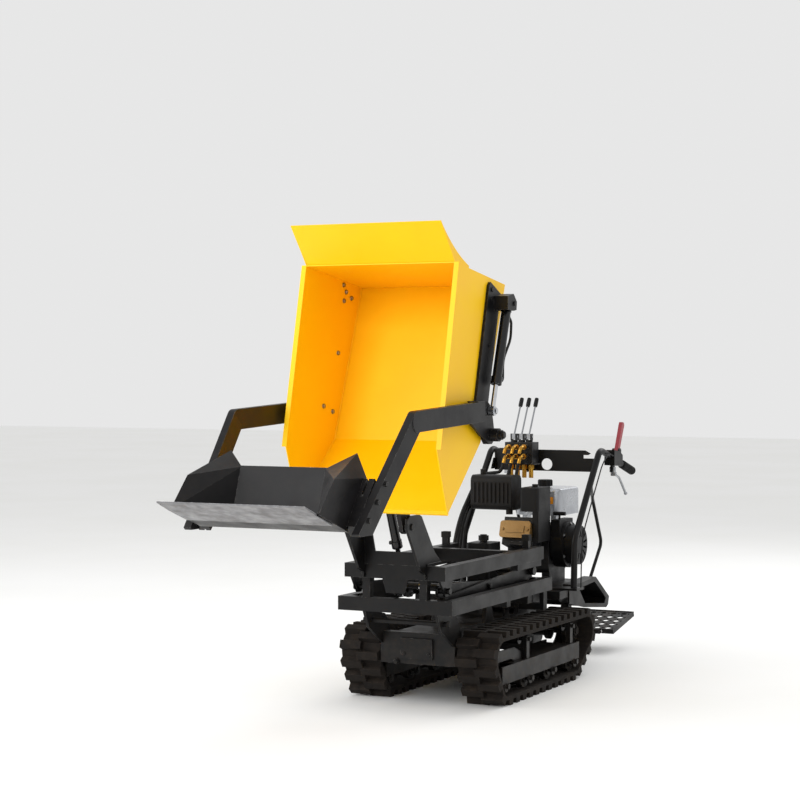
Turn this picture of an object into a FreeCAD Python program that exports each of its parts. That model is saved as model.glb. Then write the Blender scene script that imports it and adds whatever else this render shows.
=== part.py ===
"""Tracked power wheelbarrow: high-tip skip on a scissor frame, with a self-loading shovel.

Units are millimetres. While the pieces are made, X = 0 is the centre plane (+X is the machine's
left side), Y = 0 is the front of the tracks (+Y is rearwards) and Z = 0 is the ground. The last
step moves everything along Y so that the origin is the middle of the machine's box, on the ground.
The skip stands tipped forward, the shovel is raised and the scissor frame is down.
"""
import FreeCAD, Part
import math
import os

from FreeCAD import Vector

# ---------------------------------------------------------------- driving dimensions
TRACK_X = 270.0            # centre of each track
TRACK_WIDTH = 180.0
LUG_PITCH = 72.0
CARCASS = 14.0             # belt thickness without lugs
LUG_HEIGHT = 24.0
BELT = CARCASS + LUG_HEIGHT
WHEEL_GAP = 0.5            # between a wheel and the belt it carries

IDLER = (108.0, 205.0, 108.0)        # Y, Z and outer radius of the belt round the idler
SPROCKET = (1068.0, 203.0, 105.0)
ROLLER_YS = (150.0, 411.0, 672.0, 933.0)
ROLLER_R = 82.0            # outer radius of the belt round a bottom roller
CARRIER_YS = (399.0, 906.0)
CARRIER_R = 24.0
CARRIER_ZS = (249.0, 245.5)

BEAM_H = 58.0              # rectangular tube of both lift frames
BEAM_W = 40.0
BEAM_WALL = 4.0
FRAME_FRONT = -197.0
LOWER_HALF = 261.0
LOWER_Z = 408.0
LOWER_REAR = 880.0
UPPER_HALF = 230.0
UPPER_Z = 547.0
UPPER_REAR = 855.0

SCISSOR_FRONT_Y = -125.0   # front pins of both arms
SCISSOR_REAR_Y = 787.0     # rear rollers of both arms
SCISSOR_LOW_Z = 450.0
SCISSOR_HIGH_Z = 500.0
ARM_HALF_DEPTH = 24.0
INNER_ARM_X = 162.0        # inner face of the inner arm
OUTER_ARM_X = 178.0
ARM_PLATE = 12.0
PIN_R = 12.0
RUN = 0.05                 # radial running clearance

HINGE = (-330.0, 775.0)    # skip hinge, Y and Z
TIP_ANGLE = 68.9           # how far the skip stands tipped
SKIP_HALF = 337.0
SKIP_SHEET = 4.0
RIM_FLANGE = 17.0
SKIP_FLOOR_Z = 669.0       # these skip points are given with the skip down
SKIP_KNEE_Y = 69.0
SKIP_REAR_Y = 764.0
SKIP_LIP = (-301.0, 867.0)
SKIP_RIM_FRONT = (-94.0, 1052.0)
SKIP_RIM_REAR = (653.0, 1160.0)
FLARE_TOP = (749.0, 1334.0)
FLARE_HALF = 335.0
GUSSET_LOW = (693.0, 1026.0)

LOADER_PIVOT = (-50.0, 1139.0)
ROD_PIN = (-67.0, 1237.0)
BARREL_PIN = (85.0, 1676.0)
LOADER_X = 388.0           # centre plane of a loader arm
LOADER_REAR = (-190.0, 1237.0)
LOADER_BEND = (-808.0, 1211.0)
LOADER_FOOT = (352.0, -1185.0, 793.0)    # the front leg leans in towards the shovel
LOADER_TUBE_W = 30.0
LOADER_TUBE_D = 80.0
CYLINDER_X = 380.0

DUMP_LOW = (-85.0, 480.0)
DUMP_HIGH = (-267.0, 911.0)
LIFT_BASE = (700.0, 425.0)
LIFT_REACH = 200.0         # from the front pin to the rod lug, along the inner arm

PLATFORM_HALF = 230.0
PLATFORM_FRONT = (1759.0, 121.0)
PLATFORM_REAR = (2061.0, 176.0)

HANDLE_X = 280.0
HANDLE_R = 15.0
HANDLE_BENDS = [80.0, 55.0]
PANEL_Y = 1435.0


# ---------------------------------------------------------------- helpers
def box(x0, x1, y0, y1, z0, z1):
    """Return a box between the given limits."""
    return Part.makeBox(x1 - x0, y1 - y0, z1 - z0, Vector(x0, y0, z0))


def cyl(start, axis, radius, length):
    """Return a cylinder from a start point along an axis."""
    return Part.makeCylinder(radius, length, Vector(*start), Vector(*axis))


def cyl_x(x0, x1, at, radius):
    """Return a cylinder along X, with its axis at the Y and Z of `at`."""
    return cyl((x0, at[0], at[1]), (1, 0, 0), radius, x1 - x0)


def ring_x(x0, x1, at, radius, bore):
    """Return a bush along X."""
    return cyl_x(x0, x1, at, radius).cut(cyl_x(x0 - 1, x1 + 1, at, bore))


def between(start, end, radius):
    """Return a round bar from one point to another."""
    a = Vector(*start)
    b = Vector(*end)
    return Part.makeCylinder(radius, (b - a).Length, a, b - a)


def side_plate(points, x0, x1):
    """Return a plate whose outline is given by Y and Z points."""
    corners = [Vector(x0, y, z) for y, z in points]
    face = Part.Face(Part.makePolygon(corners + corners[:1]))
    return face.extrude(Vector(x1 - x0, 0, 0))


def cross_plate(points, y0, y1):
    """Return a plate whose outline is given by X and Z points."""
    corners = [Vector(x, y0, z) for x, z in points]
    face = Part.Face(Part.makePolygon(corners + corners[:1]))
    return face.extrude(Vector(0, y1 - y0, 0))


def fuse(shapes):
    """Return one shape made of all the given shapes."""
    first = shapes[0]
    if len(shapes) == 1:
        return first
    return first.multiFuse(list(shapes[1:])).removeSplitter()


def mirror(shape):
    """Return the shape on the other side of the centre plane."""
    return shape.mirror(Vector(0, 0, 0), Vector(1, 0, 0))


def both(shape):
    """Return a shape and its mirror image."""
    return Part.makeCompound([shape, mirror(shape)])


def group(shapes):
    """Return separate solids as one node."""
    solids = []
    for shape in shapes:
        solids.extend(shape.Solids)
    return Part.makeCompound(solids)


def hollow(outer, wall, axis):
    """Return a box emptied along one axis, which leaves a rectangular tube."""
    b = outer.BoundBox
    inset = {"x": (-1, wall, wall), "y": (wall, -1, wall), "z": (wall, wall, -1)}[axis]
    inner = box(b.XMin + inset[0], b.XMax - inset[0], b.YMin + inset[1], b.YMax - inset[1],
                b.ZMin + inset[2], b.ZMax - inset[2])
    return outer.cut(inner)


def hex_head(start, axis, across, height):
    """Return a hexagonal head that stands on a point."""
    radius = across / math.sqrt(3.0)
    corners = []
    for i in range(6):
        turn = math.radians(60 * i)
        corners.append(Vector(radius * math.cos(turn), radius * math.sin(turn), 0))
    prism = Part.Face(Part.makePolygon(corners + corners[:1])).extrude(Vector(0, 0, height))
    prism.Placement = FreeCAD.Placement(Vector(*start), FreeCAD.Rotation(Vector(0, 0, 1), Vector(*axis)))
    return prism


def rotate_about_x(point, pivot, degrees):
    """Return a Y, Z point turned about a pivot, from +Y towards +Z."""
    turn = math.radians(degrees)
    y = point[0] - pivot[0]
    z = point[1] - pivot[1]
    return (pivot[0] + y * math.cos(turn) - z * math.sin(turn),
            pivot[1] + y * math.sin(turn) + z * math.cos(turn))


def tipped(shape):
    """Return a shape that was made with the skip down, turned to where the skip stands."""
    turned = shape.copy()
    turned.rotate(Vector(0, HINGE[0], HINGE[1]), Vector(1, 0, 0), TIP_ANGLE)
    return turned


def tube_path(points, radius, bends):
    """Return a round tube along straight runs that are joined by tangent arcs."""
    corners = [Vector(*p) for p in points]
    edges = []
    last = corners[0]
    for i in range(1, len(corners) - 1):
        back = (corners[i - 1] - corners[i]).normalize()
        ahead = (corners[i + 1] - corners[i]).normalize()
        half = back.getAngle(ahead) / 2.0
        bend = bends[i - 1] if isinstance(bends, (list, tuple)) else bends
        reach = bend / math.tan(half)
        start = corners[i] + back * reach
        end = corners[i] + ahead * reach
        middle_way = (back + ahead).normalize()
        centre = corners[i] + middle_way * (bend / math.sin(half))
        middle = centre - middle_way * bend
        if (start - last).Length > 0.01:
            edges.append(Part.LineSegment(last, start).toShape())
        edges.append(Part.Arc(start, middle, end).toShape())
        last = end
    edges.append(Part.LineSegment(last, corners[-1]).toShape())
    path = Part.Wire(edges)
    way = (corners[1] - corners[0]).normalize()
    profile = Part.Wire([Part.makeCircle(radius, corners[0], way)])
    return path.makePipeShell([profile], True, False)


def hose(points, radius, tight=0.45):
    """Return a hose whose arcs are as large as its runs allow, and print its tightest one."""
    corners = [Vector(*p) for p in points]
    bends = []
    for i in range(1, len(corners) - 1):
        back = corners[i - 1] - corners[i]
        ahead = corners[i + 1] - corners[i]
        run = min(back.Length, ahead.Length)
        half_turn = (math.pi - back.getAngle(ahead)) / 2.0
        bends.append(tight * run / math.tan(half_turn))
    tube = tube_path(points, radius, bends)
    print("hose radii", [round(b) for b in bends], "diameter", 2 * radius)
    return tube


# ---------------------------------------------------------------- crawler tracks
def tangent(first, second):
    """Return the two points of the outer tangent of two circles, on the left of the way."""
    dy = second[0] - first[0]
    dz = second[1] - first[1]
    gap = math.hypot(dy, dz)
    lean = math.acos((first[2] - second[2]) / gap)
    turn = math.atan2(dz, dy) + lean
    way = (math.cos(turn), math.sin(turn))
    return ((first[0] + first[2] * way[0], first[1] + first[2] * way[1]),
            (second[0] + second[2] * way[0], second[1] + second[2] * way[1]))


def belt_wheels(inset):
    """Return the four corner circles of the belt, clockwise, smaller by an inset."""
    last = ROLLER_YS[-1]
    first = ROLLER_YS[0]
    wheels = (IDLER, SPROCKET, (last, ROLLER_R, ROLLER_R), (first, ROLLER_R, ROLLER_R))
    return [(y, z, r - inset) for y, z, r in wheels]


def belt_stations(inset):
    """Return straight and round stretches of the belt loop, each with its length."""
    wheels = belt_wheels(inset)
    count = len(wheels)
    lines = [tangent(wheels[i], wheels[(i + 1) % count]) for i in range(count)]
    stretches = []
    for i in range(count):
        start, end = lines[i]
        length = math.hypot(end[0] - start[0], end[1] - start[1])
        stretches.append(("run", start, end, length))
        y, z, r = wheels[(i + 1) % count]
        out = lines[(i + 1) % count][0]
        a0 = math.atan2(end[1] - z, end[0] - y)
        a1 = math.atan2(out[1] - z, out[0] - y)
        while a1 > a0:
            a1 -= 2 * math.pi
        stretches.append(("arc", (y, z, r, a0, a1), None, r * (a0 - a1)))
    return stretches


def belt_face(inset, x):
    """Return the flat face inside the belt loop."""
    edges = []
    for kind, first, second, _ in belt_stations(inset):
        if kind == "run":
            edges.append(Part.LineSegment(Vector(x, *first), Vector(x, *second)).toShape())
        else:
            y, z, r, a0, a1 = first
            points = [Vector(x, y + r * math.cos(a), z + r * math.sin(a)) for a in (a0, (a0 + a1) / 2, a1)]
            edges.append(Part.Arc(*points).toShape())
    return Part.Face(Part.Wire(edges))


def on_belt(inset, distance):
    """Return the point and the outward angle at a distance along the belt loop."""
    for kind, first, second, length in belt_stations(inset):
        if distance > length:
            distance -= length
            continue
        if kind == "run":
            part = distance / length
            y = first[0] + (second[0] - first[0]) * part
            z = first[1] + (second[1] - first[1]) * part
            return y, z, math.atan2(second[1] - first[1], second[0] - first[0]) + math.pi / 2
        y, z, r, a0, a1 = first
        angle = a0 - distance / r
        return y + r * math.cos(angle), z + r * math.sin(angle), angle
    return on_belt(inset, 0.0)


def track_belt():
    """Return the left rubber track, with its two staggered rows of lugs."""
    x0 = TRACK_X - TRACK_WIDTH / 2
    outer = belt_face(LUG_HEIGHT, x0).extrude(Vector(TRACK_WIDTH, 0, 0))
    inner = belt_face(BELT, x0 - 1).extrude(Vector(TRACK_WIDTH + 2, 0, 0))
    carcass = outer.cut(inner)
    total = sum(s[3] for s in belt_stations(LUG_HEIGHT))
    count = round(total / LUG_PITCH)
    pitch = total / count
    lug_long = 34.0
    lug_root = 42.0
    lug_wide = TRACK_WIDTH / 2 + 8.0
    lugs = []
    for i in range(count):
        for side in (0, 1):
            y, z, angle = on_belt(LUG_HEIGHT, (i + 0.5 * side) * pitch)
            xs = (x0, x0 + lug_wide) if side == 0 else (x0 + TRACK_WIDTH - lug_wide, x0 + TRACK_WIDTH)
            section = [Vector(xs[0], -lug_root / 2, -3.0), Vector(xs[0], lug_root / 2, -3.0),
                       Vector(xs[0], lug_long / 2, LUG_HEIGHT), Vector(xs[0], -lug_long / 2, LUG_HEIGHT)]
            lug = Part.Face(Part.makePolygon(section + section[:1])).extrude(Vector(xs[1] - xs[0], 0, 0))
            lug.rotate(Vector(0, 0, 0), Vector(1, 0, 0), math.degrees(angle) - 90)
            lug.translate(Vector(0, y, z))
            lugs.append(lug)
    return carcass.multiFuse(lugs).cut(box(0, 500, -200, 1300, -20, 0))


def wheel(at, radius, half_width, hub, bore, rim_groove):
    """Return a turned wheel of the undercarriage, with a groove or a flange pair."""
    body = cyl_x(TRACK_X - half_width, TRACK_X + half_width, at, radius)
    if rim_groove > 0:
        groove = ring_x(TRACK_X - half_width * 0.45, TRACK_X + half_width * 0.45, at, radius + 1, radius - rim_groove)
        body = body.cut(groove)
    body = body.fuse(cyl_x(TRACK_X - half_width - 8, TRACK_X + half_width + 8, at, hub))
    return body.cut(cyl_x(0, 400, at, bore))


def bottom_roller(y):
    """Return a bottom roller, which runs on its fixed axle."""
    return wheel((y, ROLLER_R), ROLLER_R - BELT - WHEEL_GAP, 52.0, 26.0, PIN_R + RUN, 9.0)


def idler():
    """Return the front idler: a rim, a web with round windows and a hub."""
    at = IDLER[:2]
    radius = IDLER[2] - BELT - WHEEL_GAP
    rim = ring_x(TRACK_X - 40, TRACK_X + 40, at, radius, radius - 14)
    web = cyl_x(TRACK_X - 6, TRACK_X + 6, at, radius - 10)
    hub = cyl_x(TRACK_X - 44, TRACK_X + 44, at, 26)
    shape = fuse([rim, web, hub])
    for i in range(5):
        turn = math.radians(72 * i)
        shape = shape.cut(cyl_x(TRACK_X - 20, TRACK_X + 20,
                                (at[0] + 41 * math.cos(turn), at[1] + 41 * math.sin(turn)), 9))
    return shape.cut(cyl_x(0, 400, at, PIN_R + RUN))


def sprocket():
    """Return the drive sprocket with its half shaft, which runs in the gearbox."""
    at = SPROCKET[:2]
    radius = SPROCKET[2] - BELT - WHEEL_GAP
    disc = cyl_x(TRACK_X - 18, TRACK_X + 18, at, radius)
    teeth = 9
    for i in range(teeth):
        turn = math.radians(360 / teeth * (i + 0.5))
        disc = disc.cut(cyl_x(TRACK_X - 30, TRACK_X + 30,
                              (at[0] + (radius + 4) * math.cos(turn), at[1] + (radius + 4) * math.sin(turn)), 16))
    for i in range(6):
        turn = math.radians(60 * i)
        disc = disc.cut(cyl_x(TRACK_X - 30, TRACK_X + 30, (at[0] + 34 * math.cos(turn), at[1] + 34 * math.sin(turn)), 6))
    hub = cyl_x(TRACK_X - 50, TRACK_X + 34, at, 24)
    shaft = cyl_x(60, TRACK_X + 40, at, 17)
    return fuse([disc, hub, shaft])


def track_frames():
    """Return both track frames: side plates, box, roller axles, idler fork and carrier posts."""
    side = []
    low = 92.0
    high = 166.0
    for x0, x1 in ((186.0, 194.0), (344.0, 352.0)):
        plate = box(x0, x1, 105, 981, low, high)
        for y in ROLLER_YS:
            plate = plate.fuse(cyl_x(x0, x1, (y, ROLLER_R), 24))
        side.append(plate)
    side.append(hollow(box(194, 344, 240, 900, 132, high), 5.0, "y"))
    for y in ROLLER_YS:
        side.append(cyl_x(180, 356, (y, ROLLER_R), PIN_R))
        side.append(hex_head((356, y, ROLLER_R), (1, 0, 0), 22, 8))
    for x0, x1 in ((214.0, 222.0), (318.0, 326.0)):
        side.append(side_plate([(90, 190), (112, 182), (260, 182), (300, high - 2), (360, high - 2), (360, 200),
                                (290, 226), (112, 228), (90, 220)], x0, x1))
    side.append(cyl_x(210, 330, IDLER[:2], PIN_R))
    side.append(box(222, 318, 305, 355, high - 2, 190))
    side.append(box(326, 350, 58, 68, 198, 236).fuse(box(322, 328, 58, 120, 198, 226)))
    side.append(hex_head((338, 58, 217), (0, -1, 0), 20, 9))
    for y, z in zip(CARRIER_YS, CARRIER_ZS):
        side.append(box(322, 344, y - 15, y + 15, high - 2, z + 12))
        side.append(cyl_x(228, 350, (y, z), 9.0))
        side.append(cyl_x(236, 304, (y, z), CARRIER_R))
        side.append(hex_head((350, y, z), (1, 0, 0), 18, 7))
    return both(fuse(side))


# ---------------------------------------------------------------- chassis
def chassis():
    """Return the welded chassis between the tracks, with its carriers for the lower frame."""
    parts = [hollow(box(-110, 110, 30, 960, 190, 300), 6.0, "y")]
    for y in (300.0, 800.0):
        parts.append(box(-186, 186, y - 40, y + 40, 140, 200))
    parts.append(box(-172, 172, 20, 60, 168, 300))
    for x in (-172.0, 160.0):
        parts.append(side_plate([(20, 190), (90, 190), (90, 300), (40, 372), (-120, LOWER_Z), (-150, LOWER_Z),
                                 (-110, 330), (20, 250)], x, x + 12))
    for x in (-130.0, 110.0):
        parts.append(side_plate([(430, 300), (520, 300), (500, 372), (450, 372)], x, x + 20))
        parts.append(side_plate([(790, 300), (900, 300), (880, LOWER_Z), (820, LOWER_Z)], x, x + 20))
    for x in (-250.0, 230.0):
        parts.append(box(x, x + 20, 805, 845, 330, LOWER_Z))
    parts.append(box(-250, 250, 805, 845, 322, 352))
    parts.append(box(-221, 221, 455, 495, 372, LOWER_Z))
    parts.append(box(-221, 221, 690, 740, 362, 398))
    for x in (-110.0, 100.0):
        parts.append(box(x, x + 10, 690, 740, 298, 364))
    deck_z = 385.0
    for x in (-180.0, 140.0):
        parts.append(hollow(box(x, x + 40, 880, 1480, 345, deck_z), 4.0, "y"))
    parts.append(box(-180, 180, 845, 885, 345, deck_z + 6))
    parts.append(box(-250, 250, 1000, 1100, 350, deck_z))
    parts.append(box(-190, 190, 1440, 1480, 345, deck_z))
    for x in (-120.0, 80.0):
        parts.append(side_plate([(1330, 350), (1400, 350), (1480, 300), (1480, 140), (1440, 140), (1440, 280)],
                                x, x + 40))
    return fuse(parts)


def chassis_trim():
    """Return the bolted front cover, the front cross shaft and the drain plug."""
    cover = box(-74, 74, 8, 19.7, 191, 277)
    pieces = [cover]
    for x in (-58.0, 58.0):
        pieces.append(hex_head((x, 8, 212), (0, -1, 0), 14, 5))
    shaft = cyl_x(-186, 186, (-80, 358), 11)
    pieces.append(shaft)
    for x, way in ((186.0, 1), (-186.0, -1)):
        pieces.append(hex_head((x, -80, 358), (way, 0, 0), 24, 12))
    pieces.append(cyl((-95, 20, 176), (0, -1, 0), 12, 10).fuse(hex_head((-95, 10, 176), (0, -1, 0), 15, 8)))
    return group([fuse(pieces[:3])] + [fuse(pieces[3:6])] + pieces[6:])


def shaft_holes():
    """Return the cross shaft's own space in the chassis side plates."""
    return cyl_x(-200, 200, (-80, 358), 11.2)


def rectangle_frame(half, front, rear, z):
    """Return a rectangular frame of tube: two long beams and a front and a rear beam."""
    beams = []
    for x in (-half, half - BEAM_W):
        beams.append(hollow(box(x, x + BEAM_W, front, rear, z, z + BEAM_H), BEAM_WALL, "y"))
        beams.append(box(x, x + BEAM_W, rear - 3, rear, z, z + BEAM_H))
    beams.append(box(-half, half, front, front + BEAM_W, z, z + BEAM_H))
    return beams


def lower_frame():
    """Return the fixed lower frame, with the arm brackets, roller ledges and rest posts."""
    parts = rectangle_frame(LOWER_HALF, FRAME_FRONT, LOWER_REAR, LOWER_Z)
    parts.append(box(-LOWER_HALF, LOWER_HALF, LOWER_REAR - BEAM_W, LOWER_REAR, LOWER_Z, LOWER_Z + 18))
    pin = (SCISSOR_FRONT_Y, SCISSOR_LOW_Z)
    for x in (194.0, -206.0):
        ear = side_plate([(FRAME_FRONT + 30, LOWER_Z), (-80, LOWER_Z), (-96, 462), (-112, 472), (-142, 472),
                          (FRAME_FRONT + 30, 460)], x, x + 12)
        parts.append(ear)
        parts.append(box(x, x + 12, -150, -80, LOWER_Z, 414))
    for x0, x1 in ((193.0, 222.0), (-222.0, -193.0)):
        parts.append(box(x0, x1, 560, 830, 420, 429.5))
    for x0, x1 in ((204.0, 222.0), (-222.0, -204.0)):
        parts.append(box(x0, x1, -150, -80, LOWER_Z, 414))
    for x in (-130.0, 130.0):
        parts.append(hollow(box(x - 17, x + 17, FRAME_FRONT + 2, FRAME_FRONT + 36, LOWER_Z + BEAM_H - 1, 531), 3.0, "z"))
    frame = fuse(parts)
    bore = cyl_x(-220, 220, pin, PIN_R + RUN)
    lugs = []
    for x in (-38.0, 28.0):
        lugs.append(side_plate([(672, 398), (728, 398), (722, 438), (708, 450), (692, 450), (678, 438)], x, x + 10))
    foot = box(-50, 50, 688.5, 740, 398.3, 404)
    base = fuse(lugs + [foot]).cut(cyl_x(-60, 60, LIFT_BASE, 10 + RUN))
    return group([frame.cut(bore), base])


def buffer_pads():
    """Return the two pale rest pads on the posts of the lower frame."""
    pads = []
    for x in (-130.0, 130.0):
        pads.append(box(x - 19, x + 19, FRAME_FRONT, FRAME_FRONT + 38, 531.3, 546.6))
    return group(pads)


# ---------------------------------------------------------------- scissor lift
def arm_plate(start, end, x0):
    """Return one scissor arm plate with round ends."""
    way = Vector(0, end[0] - start[0], end[1] - start[1])
    way.normalize()
    side = Vector(0, -way.z, way.y) * ARM_HALF_DEPTH
    a = Vector(x0, *start)
    b = Vector(x0, *end)
    corners = [a + side, b + side, b - side, a - side]
    plate = Part.Face(Part.makePolygon(corners + corners[:1])).extrude(Vector(ARM_PLATE, 0, 0))
    for at in (start, end):
        plate = plate.fuse(cyl_x(x0, x0 + ARM_PLATE, at, ARM_HALF_DEPTH))
    return plate


def scissor_centre():
    """Return the Y and Z of the middle pin."""
    return ((SCISSOR_FRONT_Y + SCISSOR_REAR_Y) / 2, (SCISSOR_LOW_Z + SCISSOR_HIGH_Z) / 2)


def lift_lug():
    """Return the Y and Z of the lift rod's lug on the inner arms."""
    length = math.hypot(SCISSOR_REAR_Y - SCISSOR_FRONT_Y, SCISSOR_HIGH_Z - SCISSOR_LOW_Z)
    part = LIFT_REACH / length
    return (SCISSOR_FRONT_Y + (SCISSOR_REAR_Y - SCISSOR_FRONT_Y) * part,
            SCISSOR_HIGH_Z + (SCISSOR_LOW_Z - SCISSOR_HIGH_Z) * part)


def scissor_outer():
    """Return the outer arms: pinned low at the front, with rollers high at the rear."""
    low = (SCISSOR_FRONT_Y, SCISSOR_LOW_Z)
    high = (SCISSOR_REAR_Y, SCISSOR_HIGH_Z)
    side = [arm_plate(low, high, OUTER_ARM_X)]
    side.append(cyl_x(OUTER_ARM_X, 206 + 6, low, PIN_R))
    side.append(cyl_x(INNER_ARM_X - 4, OUTER_ARM_X + ARM_PLATE + 4, scissor_centre(), PIN_R))
    side.append(hex_head((OUTER_ARM_X + ARM_PLATE + 4, *scissor_centre()), (1, 0, 0), 24, 9))
    side.append(cyl_x(OUTER_ARM_X, 214, high, 9))
    side.append(cyl_x(194, 214, high, 20))
    arm = fuse(side)
    links = [arm, mirror(arm)]
    links.append(cyl_x(-OUTER_ARM_X - 2, OUTER_ARM_X + 2, low, 11.5))
    links.append(cyl_x(-OUTER_ARM_X - 2, OUTER_ARM_X + 2, high, 11.5))
    return fuse(links)


def scissor_inner():
    """Return the inner arms: pinned high at the front, with rollers low at the rear."""
    high = (SCISSOR_FRONT_Y, SCISSOR_HIGH_Z)
    low = (SCISSOR_REAR_Y, SCISSOR_LOW_Z)
    arm = arm_plate(high, low, INNER_ARM_X).cut(cyl_x(100, 300, scissor_centre(), PIN_R + RUN))
    arm = fuse([arm, cyl_x(INNER_ARM_X, 212, high, PIN_R), cyl_x(INNER_ARM_X, 214, low, 9),
                cyl_x(194, 214, low, 20), hex_head((212, *high), (1, 0, 0), 24, 9)])
    lug = lift_lug()
    parts = [arm, mirror(arm), cyl_x(-INNER_ARM_X - 2, INNER_ARM_X + 2, lug, 17)]
    cross = fuse(parts)
    return cross.cut(cyl_x(-15, 15, lug, 40))


def upper_frame():
    """Return the rising frame, with its arm brackets, roller rails and rest posts."""
    parts = rectangle_frame(UPPER_HALF, FRAME_FRONT, UPPER_REAR, UPPER_Z)
    parts.append(box(-UPPER_HALF, UPPER_HALF, 560, 600, UPPER_Z, UPPER_Z + BEAM_H))
    pin = (SCISSOR_FRONT_Y, SCISSOR_HIGH_Z)
    ears = []
    for x in (196.0, -206.0):
        ears.append(side_plate([(FRAME_FRONT + 2, UPPER_Z + 6), (-60, UPPER_Z + 6), (-100, 490), (-110, 478),
                                (-140, 478), (-150, 490)], x, x + 10))
    for x0, x1 in ((193.0, 228.0), (-228.0, -193.0)):
        ears.append(box(x0, x1, 560, 830, SCISSOR_HIGH_Z + 20.5, UPPER_Z + 4))
    for x in (-198.0, 198.0):
        ears.append(box(x - 14, x + 14, 716, 744, UPPER_Z + BEAM_H - 1, 652))
    for x in (-26.0, 16.0):
        ears.append(side_plate([(FRAME_FRONT + BEAM_W - 1, UPPER_Z + 20), (FRAME_FRONT + BEAM_W - 1, 480),
                                (-112, 465), (-78, 465), (-70, 480), (-74, 500), (-132, 506), (-140, UPPER_Z + 20)],
                               x, x + 10))
    ears.append(cross_plate([(-60, UPPER_Z + 2), (60, UPPER_Z + 2), (42, 488), (-42, 488)],
                            FRAME_FRONT + 8, FRAME_FRONT + 14))
    ears.append(box(-26, 26, FRAME_FRONT + 13, FRAME_FRONT + BEAM_W, 488, UPPER_Z + 1))
    frame = fuse(parts + ears)
    holes = [cyl_x(-230, 230, pin, PIN_R + RUN), cyl_x(-40, 40, DUMP_LOW, 8 + RUN)]
    for hole in holes:
        frame = frame.cut(hole)
    return frame


def post_caps():
    """Return the rubber caps that the skip rests on when it is down."""
    caps = []
    for x in (-198.0, 198.0):
        cap = box(x - 17, x + 17, 713, 747, 640, 666).cut(box(x - 14.2, x + 14.2, 715.8, 744.2, 630, 652.2))
        caps.append(cap)
    return group(caps)


def pedestal():
    """Return the skip's pedestal: two tapered cheeks joined by a U-shaped plate."""
    foot = UPPER_Z + BEAM_H
    front = FRAME_FRONT - 12
    outline = [(front, UPPER_Z + 4), (front, 572), (-250, 593), (-372, 770), (-366, 808), (-346, 820),
               (-262, 820), (-240, 812), (-119, 659), (-45, foot + 0.3), (FRAME_FRONT - 0.3, foot + 0.3),
               (FRAME_FRONT - 0.3, UPPER_Z + 4)]
    cheeks = []
    for x in (134.0, -146.0):
        cheeks.append(side_plate(outline, x, x + 12))
    web = cross_plate([(-134, foot + 0.3), (134, foot + 0.3), (134, 736), (100, 736), (86, 660), (-86, 660),
                       (-100, 736), (-134, 736)], -202, -194)
    base = box(-150, 150, -196, -60, foot + 0.3, foot + 8)
    boss = [cyl_x(128, 134, HINGE, 30), cyl_x(-134, -128, HINGE, 30)]
    shape = fuse(cheeks + [web, base] + boss)
    return shape.cut(cyl_x(-200, 200, HINGE, 14 + RUN)).cut(box(-40, 40, -186, -50, foot - 5, foot + 20))


# ---------------------------------------------------------------- skip
def skip_side_outline():
    """Return the outline of the skip's side with the skip down."""
    return [(SKIP_REAR_Y, SKIP_FLOOR_Z), SKIP_RIM_REAR, SKIP_RIM_FRONT, SKIP_LIP, (SKIP_KNEE_Y, SKIP_FLOOR_Z)]


def inset_outline(points, inset):
    """Return a convex outline moved inwards by a distance."""
    count = len(points)
    lines = []
    for i in range(count):
        y0, z0 = points[i]
        y1, z1 = points[(i + 1) % count]
        length = math.hypot(y1 - y0, z1 - z0)
        normal = (-(z1 - z0) / length, (y1 - y0) / length)
        lines.append((normal, normal[0] * y0 + normal[1] * z0 + inset))
    moved = []
    for i in range(count):
        (a, b), c = lines[i - 1]
        (d, e), f = lines[i]
        det = a * e - b * d
        moved.append(((c * e - b * f) / det, (a * f - c * d) / det))
    return moved


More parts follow.
